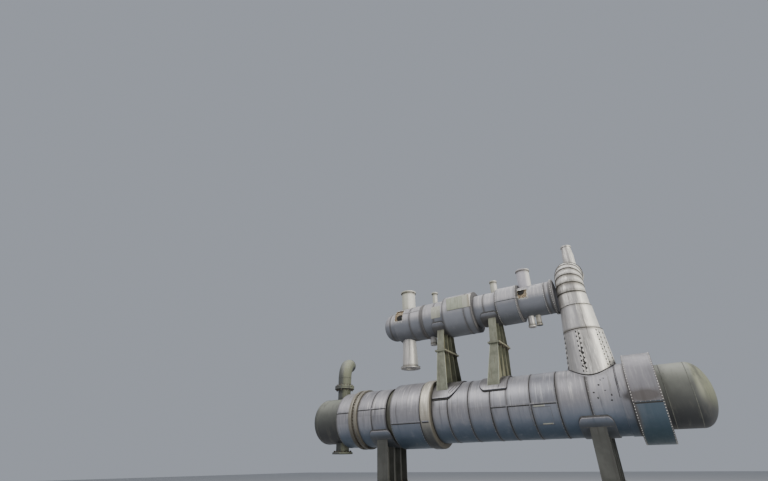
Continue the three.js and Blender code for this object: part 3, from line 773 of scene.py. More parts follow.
mainSeams = [4.57, 5.33, 6.10, 7.40, 8.20]
lowerBarrels = [
    {"name": "rearBarrelJacket", "node": "rear_barrel", "start": -0.27, "end": 0.378, "radius": 1.028,
     "wall": 0.177, "laps": [168.7, -167], "dent": 0.006, "edge": 0.012, "finish": clad},
    {"name": "rearShellJacket", "node": "rear_shell", "start": 0.762, "end": 2.068, "radius": 1.036,
     "wall": 0.1, "seams": [1.42], "laps": [166, -60], "dent": 0.009, "finish": clad},
    {"name": "plainBandRing", "node": "plain_band", "start": 2.07, "end": 2.308, "radius": 0.985,
     "wall": 0.045, "finish": bandPaint, "slot": "dark_band"},
    {"name": "wideShellJacket", "node": "wide_shell", "start": 2.31, "end": 3.548, "radius": 1.14,
     "wall": 0.2, "laps": [-163.5, 20], "dent": 0.009, "edge": 0.02, "finish": clad, "tones": (0.15, 0.5),
     "cool": [(2.31, 3.55, -163.5, -20, 0.45)]},
    {"name": "middleFlangeJacket", "node": "middle_flange_cover", "start": 3.55, "end": 3.948,
     "radius": 1.174, "wall": 0.24, "laps": [-163, 30], "dent": 0.010, "edge": 0.12, "finish": cladCream,
     "slot": "cream_cladding", "step": 0.06, "cool": coolBelow(3.5, 4.0, -179, 4, 0.85, 9)},
    {"name": "mainShellJacket", "node": "main_shell", "start": 3.952, "end": 10.158, "radius": 0.996,
     "wall": 0.1, "seams": sorted([*mainSeams, 6.65, 9.08]), "tail": [(9.90, 0.996), (9.912, 1.014)],
     "endRadius": 1.014, "laps": [-178.5, 25], "lapEnd": 8.2, "dent": 0.009, "finish": clad,
     "stainsAndShade": [(9.12, 150, 0.06, 25, 0.8), (8.24, 160, 0.05, 20, 0.7), (9.35, 135, 0.5, 8, 0.5),
                (4.05, 165, 0.08, 12, 0.7), (5.95, 150, 0.12, 6, 0.6), (6.15, -150, 0.05, 20, 0.5),
                (10.06, 182, 0.12, 6, 0.9)],
     "cool": [(6.10, 7.40, -178.5, -20, 0.2), (7.40, 8.20, -178.5, -20, 0.5),
              (6.65, 8.20, 60, 180, 0.26), (5.33, 6.65, 60, 180, 0.18), (3.95, 5.33, 60, 170, 0.12)]
             + coolBelow(8.20, 9.95, -180, 3.5, 0.6, 10)},
    {"name": "frontDrumJacket", "node": "front_flange_cover", "start": 10.162, "end": 10.918,
     "radius": 1.240, "wall": 0.36, "laps": [-170, 35], "dent": 0.004, "edge": 0.01, "finish": cladDrum,
     "tones": (0.6, 1.0), "step": 0.06,
     "cool": [(10.10 + 0.09 * i, 10.25 + 0.09 * i, -170, -20, min(1, 0.7 + 0.06 * i)) for i in range(9)],
     # the drum's marks include painted shade along its lower edge next to the shell
     "stainsAndShade": [(10.52, 183, 0.36, 7, 1.5), (10.22, 182, 0.12, 5, 1.2), (10.19, -155, 0.09, 22, 0.8)]},
]
for spec in lowerBarrels:
    makeBarrel(spec, lowerAxis)
print("lower vessel's jackets made")

rearFlange = {"start": 0.38, "end": 0.758, "inner": 0.95, "radius": 1.106, "groove": (0.525, 0.615),
              "floor": 1.05, "edge": 0.016, "laps": [166, 20, -70], "cool": (-178, 5, 0.9, 8),
              "studs": 56, "nut": 0.03, "pin": 0.018, "pinReach": 0.05, "sunk": 0.004}


def makeRearFlange(spec):
    start, end, inner, out, floor = (spec[key] for key in ("start", "end", "inner", "radius", "floor"))
    low, high = spec["groove"]
    corners = [(start, inner), (start, out), (low, out), (low, floor), (high, floor), (high, out), (end, out),
               (end, inner)]
    piece = turnedOnVessel("rearFlangeJacket", closedLoop(corners), lowerAxis, sides=112)
    rounded(piece, spec["edge"], 3)
    cool = coolBelow(start, end, *spec["cool"])
    markVessel(piece, lowerAxis, [start, low, high, end], spec["laps"], cool=cool)
    finished(smooth(piece), cladCream, "cream_cladding", "rear_flange_pair")
    stud = makeStud(spec["nut"], spec["pin"], spec["pinReach"])
    places = [standing(*onVessel((low + high) / 2, floor - spec["sunk"], 360 * i / spec["studs"], lowerAxis))
              for i in range(spec["studs"])]
    studs = scattered("rearFlangeStuds", stud, places)
    bpy.data.objects.remove(stud)
    finished(studs, boltSteel, "bare_paint")


makeRearFlange(rearFlange)

headShell = {"radius": 0.87, "wall": 0.03, "innerReach": 0.94, "pitch": 0.12, "steps": 24, "innerSteps": 12}
heads = [
    {"name": "frontHeadShell", "nodes": ["front_channel", "front_head"], "foot": 10.922, "knuckle": 11.65,
     "crown": 12.149},
    {"name": "rearHeadShell", "nodes": ["rear_channel", "rear_head"], "foot": -0.272, "knuckle": -1.42,
     "crown": -1.867},
]


def dome(knuckle, depth, radius, turns):  # corners of a dished end
    return [(knuckle + depth * math.sin(turn), radius * math.cos(turn)) for turn in turns]


def makeHead(spec, shell):
    foot, knuckle, radius = spec["foot"], spec["knuckle"], shell["radius"]
    depth = spec["crown"] - knuckle
    steps, innerSteps, inner = shell["steps"], shell["innerSteps"], radius - shell["wall"]
    corners = [(foot, inner), *denser([(foot, radius), (knuckle, radius)], shell["pitch"])]
    corners += dome(knuckle, depth, radius, [math.radians(90 * i / steps) for i in range(1, steps + 1)])
    corners += dome(knuckle, depth * shell["innerReach"], inner,
                    [math.radians(90 * i / innerSteps) for i in range(innerSteps, -1, -1)])
    corners = [(station, max(0.0, out)) for station, out in closedLoop(corners)]
    piece = turnedOnVessel(spec["name"], corners, lowerAxis, sides=112)
    dented(piece, 0.8, 0.004)
    finished(smooth(piece, 40), headPaint, "bare_paint", *spec["nodes"])


for spec in heads:
    makeHead(spec, headShell)

headWelds = {"stations": [11.63, 11.02, -1.40, -0.42], "width": 0.022, "height": 0.006, "sunk": 0.002}
weldRings = [seamRing(station, headShell["radius"] - headWelds["sunk"], lowerAxis, headWelds["width"],
                      headWelds["height"], 112) for station in headWelds["stations"]]
welds = joined("headWelds", weldRings)
finished(smooth(dented(welds, 0.02, 0.003), 50), weldSteel, "bare_paint")
print("heads made")

# Upper vessel
upperCap = {"crown": 1.582, "knuckle": 2.05, "end": 2.328, "radius": 0.578, "wall": 0.08, "steps": 18,
            "bead": [(-0.05, 0), (-0.045, 0.0015), (0, 0.0015)], "seam": 1.75}


def makeUpperCap(spec):
    knuckle, end, radius, wall = (spec[key] for key in ("knuckle", "end", "radius", "wall"))
    depth, inner = knuckle - spec["crown"], radius - wall
    outside, inside = [], []
    for i in range(spec["steps"] + 1):
        angle = math.radians(90 * i / spec["steps"])
        outside.append((knuckle - depth * math.cos(angle), radius * math.sin(angle)))
        inside.append((knuckle - (depth - wall) * math.cos(angle), inner * math.sin(angle)))
    bead = [(end + run, radius + out) for run, out in spec["bead"]]
    corners = [*outside, *bead, (end, inner), *reversed(inside)]
    piece = turnedOnVessel("upperCapShell", corners, upperAxis, 0.1)
    dented(piece, 0.35, 0.007)
    markVessel(piece, upperAxis, [spec["seam"], knuckle, end], [150, -110, 20], (0.2, 0.8))
    finished(smooth(piece), cladUpper, "cladding", "upper_end_cap")


makeUpperCap(upperCap)
upperBarrels = [
    {"name": "upperRearJacket", "node": "upper_rear_shell", "start": 2.332, "end": 4.558, "radius": 0.696,
     "wall": 0.12, "startInner": 0.50, "seams": [3.05], "bead": rearBead,
     "lining": [(2.412, 0.576), (2.412, 0.50)],
     "tail": [(3.54, 0.696), (3.545, 0.714), (3.62, 0.714), (3.625, 0.696), (4.10, 0.696), (4.105, 0.699),
              (4.13, 0.699), (4.135, 0.696)],
     "stops": [3.05, 3.54, 3.625, 4.13, 4.558], "laps": [150, -120], "tones": (0.1, 0.8), "dent": 0.007,
     "dentSize": 0.3, "step": 0.1, "sides": 96, "finish": cladUpper, "hole": rearPocket},
    {"name": "upperWideJacket", "node": "upper_wide_shell", "start": 4.562, "end": 5.758, "radius": 0.796,
     "wall": 0.26, "seams": [5.46], "laps": [-150, 60], "dent": 0.007, "edge": 0.02, "finish": cladUpperWide,
     "tones": (0.0, 0.55)},
    {"name": "upperMiddleJacket", "node": "upper_middle_shell", "start": 5.76, "end": 6.668, "radius": 0.611,
     "wall": 0.076, "seams": [6.18], "laps": [-161, 45], "dent": 0.006, "finish": cladUpper,
     "tones": (0.2, 0.8)},
    {"name": "upperDrumJacket", "node": "upper_flange_cover", "start": 6.672, "end": 7.458, "radius": 0.697,
     "wall": 0.2, "laps": [178, 30], "dent": 0.004, "edge": 0.01, "finish": cladUpper, "tones": (0.3, 0.9)},
    {"name": "upperFrontJacket", "node": "upper_front_shell", "start": 7.462, "end": 8.598, "radius": 0.571,
     "wall": 0.076, "seams": [8.42], "bead": frontBead, "stops": [8.42, 8.598], "laps": [-150, 50],
     "tones": (0.1, 0.8), "dent": 0.005, "dentSize": 0.3, "step": 0.09, "sides": 96, "finish": cladUpper,
     "hole": frontPocket},
]
for spec in upperBarrels:
    makeBarrel(spec, upperAxis)

frontRim = {"start": 8.602, "end": 8.688, "radius": 0.626, "dish": 0.56, "slope": 0.03, "depth": 0.02}


def makeUpperRim(rim):
    start, end, radius, dish = (rim[key] for key in ("start", "end", "radius", "dish"))
    floor = end - rim["depth"]
    corners = [(start, 0.0), (start, radius), (end, radius), (end, dish), (floor, dish - rim["slope"]),
               (floor, 0.0)]
    piece = rounded(turnedOnVessel("upperFrontRim", corners, upperAxis, 0.1), 0.008)
    markVessel(piece, upperAxis, [start, end], [], (0.1, 0.4))
    finished(smooth(piece), cladUpper, "cladding", "upper_front_cover")


makeUpperRim(frontRim)

sideBox = {"start": 4.802, "split": 5.452, "gap": 0.004, "end": 5.755, "inner": 0.50, "face": 0.819,
           "low": 0.002, "high": 0.488, "top": 0.598, "seat": 0.798, "edge": 0.008}


def makeSideBox(spec, name, start, end, finish, slot, *nodes):  # a flat-faced box that sits on the wide shell
    outline = [(-spec["inner"], spec["low"]), (-spec["face"], spec["low"]), (-spec["face"], spec["high"]),
               (-spec["inner"], spec["top"])]
    piece = chain(name, [Vector((along(start), y, upperAxis + z)) for y, z in outline])
    bpy.ops.mesh.edge_face_add()
    bpy.ops.mesh.extrude_region_move(TRANSFORM_OT_translate={"value": (end - start, 0, 0)})
    bpy.ops.mesh.select_all(action="SELECT")
    bpy.ops.mesh.normals_make_consistent(inside=False)
    bpy.ops.mesh.bevel(offset=spec["edge"], segments=2, affect="EDGES")
    closeMesh()
    cutWith(piece, lyingCylinder(spec["seat"], 3, along(start), upperAxis, 96))
    markPlain(piece)
    finished(smooth(piece, 30), finish, slot, *nodes)


split = sideBox["split"]
makeSideBox(sideBox, "sideBoxPanel", sideBox["start"], split, palePaint, "pale_paint", "upper_side_box")
makeSideBox(sideBox, "sideBoxBeige", split + sideBox["gap"], sideBox["end"], cladNozzle, "cream_cladding")
print("upper vessel made")

# Plates that follow a vessel
wrap = {"steps": 32, "lift": 1.6, "length": 16, "sides": 256, "cornerSteps": 8}


def wrappedPlate(name, spec, axisHeight, grow=0.0, lift=0.0):
    side = spec["side"]
    length, width = spec["end"] - spec["start"] + grow * 2, spec["width"] + grow * 2
    place = (along((spec["start"] + spec["end"]) / 2), 0, axisHeight + side * wrap["lift"])
    deselectAll()
    bpy.ops.mesh.primitive_plane_add(size=1, location=place)
    piece = named(bpy.context.object, name)
    piece.scale = (length, width, 1)
    settle(piece)
    openMesh()
    bpy.ops.mesh.select_mode(type="VERT")
    for end, corner in zip((-1, 1), spec["corners"]):
        bpy.ops.mesh.select_all(action="DESELECT")
        closeMesh()
        for vertex in piece.data.vertices:
            vertex.select = (vertex.co.x - place[0]) * end > 0
        bpy.ops.object.mode_set(mode="EDIT")
        bpy.ops.mesh.bevel(offset=corner + grow, segments=wrap["cornerSteps"], affect="VERTICES")
    radius = spec["radius"] + lift
    reach = math.degrees(math.asin(min(0.999, width / 2 / radius)))
    for i in range(1, wrap["steps"]):
        y = radius * math.sin(math.radians(-reach + 2 * reach * i / wrap["steps"]))
        bpy.ops.mesh.select_all(action="SELECT")
        bpy.ops.mesh.bisect(plane_co=(0, y, 0), plane_no=(0, 1, 0))
    closeMesh()
    target = lyingCylinder(radius, wrap["length"], 0, axisHeight, wrap["sides"])
    modified(piece, "SHRINKWRAP", target=target, wrap_method="PROJECT", use_project_z=True,
             use_negative_direction=True, use_positive_direction=True)
    bpy.data.objects.remove(target)
    pick(piece)
    openMesh()
    bpy.ops.mesh.normals_make_consistent(inside=False)
    closeMesh()
    if piece.data.polygons[0].normal.z * side < 0:
        openMesh()
        bpy.ops.mesh.flip_normals()
        closeMesh()
    return modified(piece, "SOLIDIFY", thickness=spec["thick"], offset=-1)


plates = [
    {"name": "rearPedestalCollar", "nodes": ["rear_pedestal_collar"], "start": 3.965, "end": 4.975,
     "side": 1, "width": 1.912, "corners": (0.03, 0.42), "radius": 1.0395, "thick": 0.036},
    {"name": "frontPedestalCollar", "nodes": ["front_pedestal_collar"], "start": 5.715, "end": 6.695,
     "side": 1, "width": 1.795, "corners": (0.22, 0.06), "radius": 1.0395, "thick": 0.036},
    {"name": "rearSaddleWrap", "nodes": ["rear_saddle_wrap"], "start": 1.225, "end": 2.175, "side": -1,
     "width": 1.856, "corners": (0.15, 0.15), "radius": 1.0745, "thick": 0.034},
    {"name": "frontSaddleWrap", "nodes": ["front_saddle_wrap"], "start": 8.625, "end": 9.575, "side": -1,
     "width": 1.788, "corners": (0.15, 0.15), "radius": 1.0345, "thick": 0.033},
    {"name": "rearUpperWrap", "start": 3.98, "end": 4.556, "side": -1, "width": 1.29,
     "corners": (0.12, 0.12), "radius": 0.7290, "thick": 0.03, "finish": cladUpper, "axis": upperAxis},
    {"name": "frontUpperWrap", "start": 5.98, "end": 6.655, "side": -1, "width": 1.13,
     "corners": (0.12, 0.12), "radius": 0.6440, "thick": 0.03, "finish": cladUpper, "axis": upperAxis},
]
outlines, softOutlines = [], []
for spec in plates:
    height = spec.get("axis", lowerAxis)
    piece = wrappedPlate(spec["name"], spec, height)
    rounded(piece, spec["thick"] * 0.8, 3)
    markVessel(piece, height, [spec["start"], spec["end"]], tones=(0.4, 0.8))
    finished(smooth(piece), spec.get("finish", clad), "cladding", *spec.get("nodes", []))
    # a slightly larger dark sheet under each plate shows as its outline: sealant and painted shadow at the
    # edge
    outline = wrappedPlate("plateSealantAndShade", {**spec, "thick": 0.012}, height, 0.004, -0.024)
    (outlines if spec["side"] == 1 else softOutlines).append(outline)


def planLine(points, radius, width, height):  # strips over the lower vessel through points seen from above
    placed = []
    for station, y in points:
        out = Vector((0, y, math.sqrt(radius ** 2 - y * y)))
        placed.append((Vector((along(station), 0, lowerAxis)) + out, out))
    return [strip("planLine", here, there, width, height, outward)
            for (here, outward), (there, _) in zip(placed, placed[1:])]


collarLine = {"radius": 1.039, "width": 0.016, "height": 0.010}
rearCollarLine = [(4.83, 0.0), (4.83, 0.25), (4.825, 0.5), (4.79, 0.64), (4.73, 0.74), (4.65, 0.81),
                  (4.61, 0.845), (4.615, 0.87), (4.64, 0.89), (4.67, 0.89), (4.76, 0.82), (4.85, 0.71),
                  (4.91, 0.58), (4.93, 0.4), (4.935, 0.0)]
frontCollarLine = [(6.62, 0.0), (6.615, 0.28), (6.56, 0.45), (6.51, 0.57), (6.45, 0.76), (6.41, 0.85),
                   (6.41, 0.89)]
for line in (rearCollarLine, frontCollarLine):
    for side in (-1, 1):
        outlines += planLine([(station, y * side) for station, y in line], **collarLine)
trim("plateSealantAndShade", outlines, sealantAndShade)
# a thin dark line along each saddle wrap's lower edge: painted shadow and sealant
wrapLines = [(8.66, 9.52, 1.0335), (1.26, 2.14, 1.0735)]  # start, end and radius
softOutlines += [lapBar(start, end, radius, -133, lowerAxis, 0.02, 0.004) for start, end, radius in wrapLines]
trim("wrapSealantAndShade", softOutlines, softSealantAndShade)
print("curved plates made")

# Seams, with their station, radius and the width of the dark line, which is sealant and painted shadow
ringSunk = 0.004
lowerSeams = [(station, 0.996, 0.026) for station in mainSeams]
lowerSeams += [(9.08, 0.996, 0.018), (1.42, 1.036, 0.026), (2.064, 1.03, 0.02), (2.318, 1.0, 0.03),
               (3.549, 1.146, 0.036), (3.955, 1.0, 0.04), (10.158, 1.02, 0.03)]
upperSeams = [(2.334, 0.58, 0.02), (3.05, 0.696, 0.014), (3.537, 0.698, 0.012), (3.63, 0.698, 0.012),
              (5.46, 0.796, 0.02), (6.18, 0.611, 0.012), (8.42, 0.571, 0.010),
              (5.762, 0.62, 0.03), (6.666, 0.62, 0.02), (7.464, 0.58, 0.03), (8.595, 0.58, 0.02)]
halfSeams = [  # station, radius, width, lowest and highest angle
    (6.65, 0.992, 0.026, -180, 0), (9.89, 0.993, 0.024, 3, 183), (9.925, 1.0105, 0.02, 3, 183),
]
softRings = [seamRing(station, radius - ringSunk, upperAxis, width) for station, radius, width in upperSeams]
trim("upperSeamSealantAndShade", softRings, softSealantAndShade, degrees=50)
darkRings = [seamRing(station, radius - ringSunk, lowerAxis, width) for station, radius, width in lowerSeams]
darkRings += [arcOf(seamRing(station, radius, lowerAxis, width), low, high, lowerAxis)
              for station, radius, width, low, high in halfSeams]
trim("seamSealantAndShade", darkRings, sealantAndShade, degrees=50)

laps = [  # start, end, radius, angle, axis
    (6.11, 8.19, 0.996, -178.6, lowerAxis), (10.17, 10.91, 1.2405, -170.0, lowerAxis),
    (2.33, 3.54, 1.14, -163.3, lowerAxis), (3.62, 3.88, 1.174, -163.6, lowerAxis),
    (-0.26, 0.37, 1.028, 168.7, lowerAxis), (0.78, 2.05, 1.036, 166.0, lowerAxis),
    (8.21, 9.07, 0.996, 25.0, lowerAxis), (3.97, 6.09, 0.996, 25.0, lowerAxis),
    (6.11, 9.9, 0.996, -60.0, lowerAxis), (6.68, 7.45, 0.697, 178.0, upperAxis),
    (2.75, 3.53, 0.696, 150.0, upperAxis), (4.58, 5.44, 0.796, -60.0, upperAxis),
    (5.48, 5.74, 0.796, -60.0, upperAxis),
]
lapSheet = {"lift": 0.001, "width": 0.045, "height": 0.007, "largest": 1.24}
lapLine = {"widths": {lowerAxis: 0.034, upperAxis: 0.022}, "gap": 0.021, "height": 0.006}
for name, axisHeight, finish in (("sheetLaps", lowerAxis, clad), ("upperSheetLaps", upperAxis, cladUpper)):
    own = [lap for lap in laps if lap[4] == axisHeight and lap[2] < lapSheet["largest"]]
    lapBars = [lapBar(start, end, radius + lapSheet["lift"], angle, height, lapSheet["width"],
                      lapSheet["height"]) for start, end, radius, angle, height in own]
    trim(name, lapBars, finish, degrees=30)
lapDark = []
for start, end, radius, angle, height in laps:  # the dark line, sealant and painted shadow, lies just below the lap
    width = lapLine["widths"][height]
    sense = 1 if math.cos(math.radians(angle)) < 0 else -1
    shift = math.degrees((lapLine["gap"] + width / 2) / radius) * sense
    lapDark.append(lapBar(start, end, radius, angle + shift, height, width, lapLine["height"]))
trim("lapSealantAndShade", lapDark, sealantAndShade, degrees=30)

# The bare frame, patch and flecks on the sheets
access = {"radius": 0.998, "ringRadius": 0.995, "width": 0.010, "run": (7.32, 7.97), "ends": (7.325, 7.965),
          "angles": (-172, -141), "hinges": [(7.47, 7.80, -174), (7.62, 7.92, -143)]}
frameLines = [lapBar(*access["run"], access["radius"], angle, lowerAxis, access["width"], 0.005)
              for angle in access["angles"]]
for station in access["ends"]:
    ring = seamRing(station, access["ringRadius"], lowerAxis, access["width"])
    frameLines.append(arcOf(ring, *access["angles"], lowerAxis))
trim("accessFrame", frameLines, softSealantAndShade, degrees=30)
hinges = [lapBar(start, end, 0.999, angle, lowerAxis, 0.035, 0.012) for start, end, angle in access["hinges"]]
trim("accessHinges", hinges, cladNozzle, degrees=30)
patch = arcOf(seamRing(4.26, 0.697, upperAxis, 0.4, 0.004), 150, 192, upperAxis)
finished(smooth(named(patch, "upperPatchSheet"), 30), cladNozzle, "cladding")
specks = [(9.49, 151), (9.56, 170), (9.67, -174), (9.33, -179), (9.58, 148), (9.42, 160), (9.7, 178),
          (9.25, 172)]
places = []
for station, angle in specks:
    spread = Matrix.Diagonal((chance.uniform(0.9, 2.6), chance.uniform(0.9, 2.6), 1.2, 1))
    places.append(standing(*onVessel(station, 0.996, angle, lowerAxis)) @ spread)
finished(scattered("shellFlecks", rivetModel, places), sealantAndShade, "cladding")
paleFleck = scattered("paleFleck", rivetModel, [standing(*onVessel(9.74, 0.997, 161, lowerAxis))])
finished(paleFleck, cladNozzle, "cladding")

# Rivets, ring by ring: station, radius, axis, pitch and where needed the first and last angle
brightRings = [(10.185, 1.2405, lowerAxis, 0.075), (10.895, 1.2405, lowerAxis, 0.075),
               (7.43, 0.698, upperAxis, 0.06), (6.70, 0.698, upperAxis, 0.075),
               (8.385, 0.574, upperAxis, 0.07), (8.645, 0.626, upperAxis, 0.08)]
dullRings = [(2.35, 1.141, lowerAxis, 0.085), (-0.24, 1.029, lowerAxis, 0.085),
             (9.115, 0.996, lowerAxis, 0.09, (-250, -120)), (3.50, 1.141, lowerAxis, 0.11),
             *[(seam - 0.03, 1.002, lowerAxis, 0.15) for seam in mainSeams],
             (5.425, 0.802, upperAxis, 0.085), (6.155, 0.614, upperAxis, 0.1),
             (2.36, 0.697, upperAxis, 0.09, (175, 470))]
lapRivets = {"inset": 0.02, "lift": 0.004, "pitch": 0.11}
rivets = [place for ring in brightRings for place in rivetRing(*ring)]
dullRivets = [place for ring in dullRings for place in rivetRing(*ring)]
for start, end, radius, angle, height in laps:
    first, last = start + lapRivets["inset"], end - lapRivets["inset"]
    dullRivets += rivetRow(first, last, radius + lapRivets["lift"], angle, height, lapRivets["pitch"])
finished(scattered("sheetRivets", rivetModel, rivets), rivetSteel, "cladding")
finished(scattered("dullSheetRivets", rivetModel, dullRivets), dullRivet, "cladding")
print("seams and rivets made:", len(rivets) + len(dullRivets))

# Riser
riserCollar = {
    "name": "riserCollarJacket", "node": "riser_collar", "station": 9.27, "low": 0.62, "high": 2.15,
    "foot": 0.748, "radius": 0.603, "inner": 0.4, "seat": 1.0,
    "rim": [(-0.05, 0.001), (-0.044, 0.008), (-0.01, 0.006), (0, -0.008)],
    "dent": 0.007, "stops": [2.15], "laps": [-160, -101, -41, -20, 35, 90, 145], "tones": (0.5, 1.0),
    "cool": [(0, 3, -180, -101, 0.75), (0, 3, 150, 180, 0.75)],
}
riserFoot = {"depth": 0.02, "rise": 0.5, "slope": 0.047, "inside": 0.990}
riserFeet = [
    # the foot's dark ring is sealant and painted shadow where the riser meets the shell
    {"name": "riserFootSealant", "out": 0.020, "outside": 1.018, "finish": sealantAndShade},
    {"name": "riserFootLip", "out": 0.030, "outside": 1.004, "finish": clad},
]
riserLaps = {
    "top": 2.1, "foot": (0.72, 0.28), "width": 0.05, "height": 0.008, "darkWidth": 0.022, "darkTurn": 3.0,
    "pitch": 0.08, "rivetGrow": 2.3, "double": (-160, -101, -41), "doubleRows": (-3.2, 5.0),
    "blots": 26, "blotAngle": -99, "blotHeight": 0.010,
}
riserBarrel = {
    "name": "riserBarrelJacket", "node": "riser_barrel", "station": 9.235, "low": 2.153, "high": 2.998,
    "foot": 0.583, "radius": 0.508, "inner": 0.39, "rim": [(-0.05, 0.002), (-0.044, 0.006), (0, 0.001)],
    "dent": 0.006, "stops": [2.153, 2.998], "laps": [-80, 10, 120], "tones": (0.2, 0.9),
    "cool": [(2, 3, -180, -84, 0.8), (2, 3, 120, 180, 0.8)],
}
riserElbow = {"station": 9.21, "low": 3.002, "knee": 3.47, "foot": 0.498, "radius": 0.463, "bend": 1.18,
              "gores": 7, "wall": 0.08, "face": 1.243}
riserVent = {"station": 9.34, "y": 0.70, "foot": 0.207, "neck": 0.163, "lip": 0.192, "low": 5.30,
             "top": 5.669, "flange": 0.05, "chamfer": (0.03, 0.012)}
riserSeams = [(9.27, 2.151, 0.600, 0.03), (9.235, 2.999, 0.506, 0.03), (9.21, 3.47, 0.462, 0.026)]


def seatTool(radius, x):  # the lower vessel, to seat the riser on
    return lyingCylinder(radius, 4, x, lowerAxis, 192)


def makeRiserJacket(spec):
    x, low, high = along(spec["station"]), lowerAxis + spec["low"], lowerAxis + spec["high"]
    rim = [(high + run, spec["radius"] + out) for run, out in spec["rim"]]
    corners = [(low, spec["inner"]), (low, spec["foot"]), *rim, (high, spec["inner"])]
    piece = turned(spec["name"], closedLoop(corners), (x, 0, 0), "Z", 96, 0.1)
    if "seat" in spec:
        cutWith(piece, seatTool(spec["seat"], x))
    dented(piece, 0.3, spec["dent"])
    markSheets(piece, "Z", (x, 0, lowerAxis), spec["stops"], spec["laps"], spec["tones"], spec["cool"])
    finished(smooth(piece), cladRiser, "cream_cladding", spec["node"])


def makeRiserFoot(spec, shape, collar):
    x, low, foot = along(collar["station"]), lowerAxis + collar["low"], collar["foot"]
    rise, slope, inner, outer = shape["rise"], shape["slope"], foot - shape["depth"], foot + spec["out"]
    corners = [(low, inner), (low, outer), (low + rise, outer - slope), (low + rise, inner - slope)]
    piece = turned(spec["name"], closedLoop(corners), (x, 0, 0), "Z")
    cutWith(piece, seatTool(shape["inside"], x))
    cutWith(piece, seatTool(spec["outside"], x), "INTERSECT")
    markPlain(piece)
    finished(smooth(piece, 30), spec["finish"], "cream_cladding")


def onCollar(angle, rise):  # a point on the collar's slope and its outward direction, angle from +X to +Y
    low, top, foot, radius = (riserCollar[key] for key in ("low", "high", "foot", "radius"))
    out = Vector((math.cos(math.radians(angle)), math.sin(math.radians(angle)), 0))
    reach = foot + (radius - foot) * (rise - low) / (top - low)
    return Vector((along(riserCollar["station"]), 0, lowerAxis + rise)) + out * reach, out


def slopeStrip(name, angle, low, high, width, height):
    here, there = (onCollar(angle, rise)[0] for rise in (low, high))
    return strip(name, here, there, width, height, onCollar(angle, 1)[1])


def makeRiserLaps(spec, angles):
    top, bars, darks, places = spec["top"], [], [], []
    least, more = spec["foot"]
    for angle in angles:
        foot = least + more * abs(math.cos(math.radians(angle)))
        bars.append(slopeStrip("riserLap", angle, foot, top, spec["width"], spec["height"]))
        # a dark strip beside each lap: sealant and painted shadow
        beside = angle + spec["darkTurn"]
        darks.append(slopeStrip("riserLap", beside, foot, top, spec["darkWidth"], spec["height"]))
        rises = evenly(foot, top, round((top - foot) / spec["pitch"]))
        rows = spec["doubleRows"] if angle in spec["double"] else (0.0,)
        places += [standing(*onCollar(angle + row, rise)) for row in rows for rise in rises]
    for _ in range(spec["blots"]):  # loose sealant beside the main lap
        rise, angle = chance.uniform(0.85, 1.55), spec["blotAngle"] + chance.uniform(-3.5, 4.5)
        above = rise + chance.uniform(0.02, 0.07)
        width = chance.uniform(0.012, 0.035)
        darks.append(slopeStrip("riserBlot", angle, rise, above, width, spec["blotHeight"]))
    laps = joined("riserLaps", bars)
    markPlain(laps, (0.8, 1.0))
    finished(laps, cladRiser, "cream_cladding")
    finished(joined("riserLapSealantAndShade", darks), sealantAndShade, "cream_cladding")
    places = [place @ Matrix.Scale(spec["rivetGrow"], 4) for place in places]
    finished(scattered("riserRivets", rivetModel, places[::2]), sealantAndShade, "cream_cladding")
    finished(scattered("riserBrightRivets", rivetModel, places[1::2]), rivetSteel, "cream_cladding")


# An upright tube that turns towards +Y, drawn on from ring to ring and given its wall
def bentTube(name, spec, sides, bendSteps, risers=4):
    foot, radius = spec["foot"], spec["radius"]
    deselectAll()
    bpy.ops.mesh.primitive_circle_add(vertices=sides, radius=foot, location=(spec["x"], 0, spec["low"]))
    piece = settle(named(bpy.context.object, name))
    openMesh()
    rise = (spec["knee"] - spec["low"]) / risers
    for i in range(1, risers + 1):
        bpy.ops.mesh.extrude_region_move(TRANSFORM_OT_translate={"value": (0, 0, rise)})
        before = foot + (radius - foot) * (i - 1) / risers
        after = foot + (radius - foot) * i / risers
        bpy.ops.transform.resize(value=(after / before, after / before, 1))
    hub = (spec["x"], spec["bend"], spec["knee"])
    for _ in range(bendSteps):
        bpy.ops.mesh.extrude_region_move(TRANSFORM_OT_translate={"value": (0, 0, 0)})
        bpy.ops.transform.rotate(value=math.radians(90 / bendSteps), orient_axis="X", center_override=hub)
    bpy.ops.mesh.extrude_region_move(TRANSFORM_OT_translate={"value": (0, spec["face"] - spec["bend"], 0)})
    bpy.ops.mesh.select_all(action="SELECT")
    bpy.ops.mesh.normals_make_consistent(inside=False)
    bpy.ops.mesh.subdivide(number_cuts=1)
    closeMesh()
    return modified(piece, "SOLIDIFY", thickness=spec["wall"], offset=-1)


def bendRing(spec, degrees, grow, minor):
    angle = math.radians(degrees)
    centre = (spec["x"], spec["bend"] * (1 - math.cos(angle)), spec["knee"] + spec["bend"] * math.sin(angle))
    deselectAll()
    bpy.ops.mesh.primitive_torus_add(location=centre, rotation=(-angle, 0, 0), minor_radius=minor,
                                     major_radius=spec["radius"] + grow, major_segments=72, minor_segments=8)
    return settle(bpy.context.object)


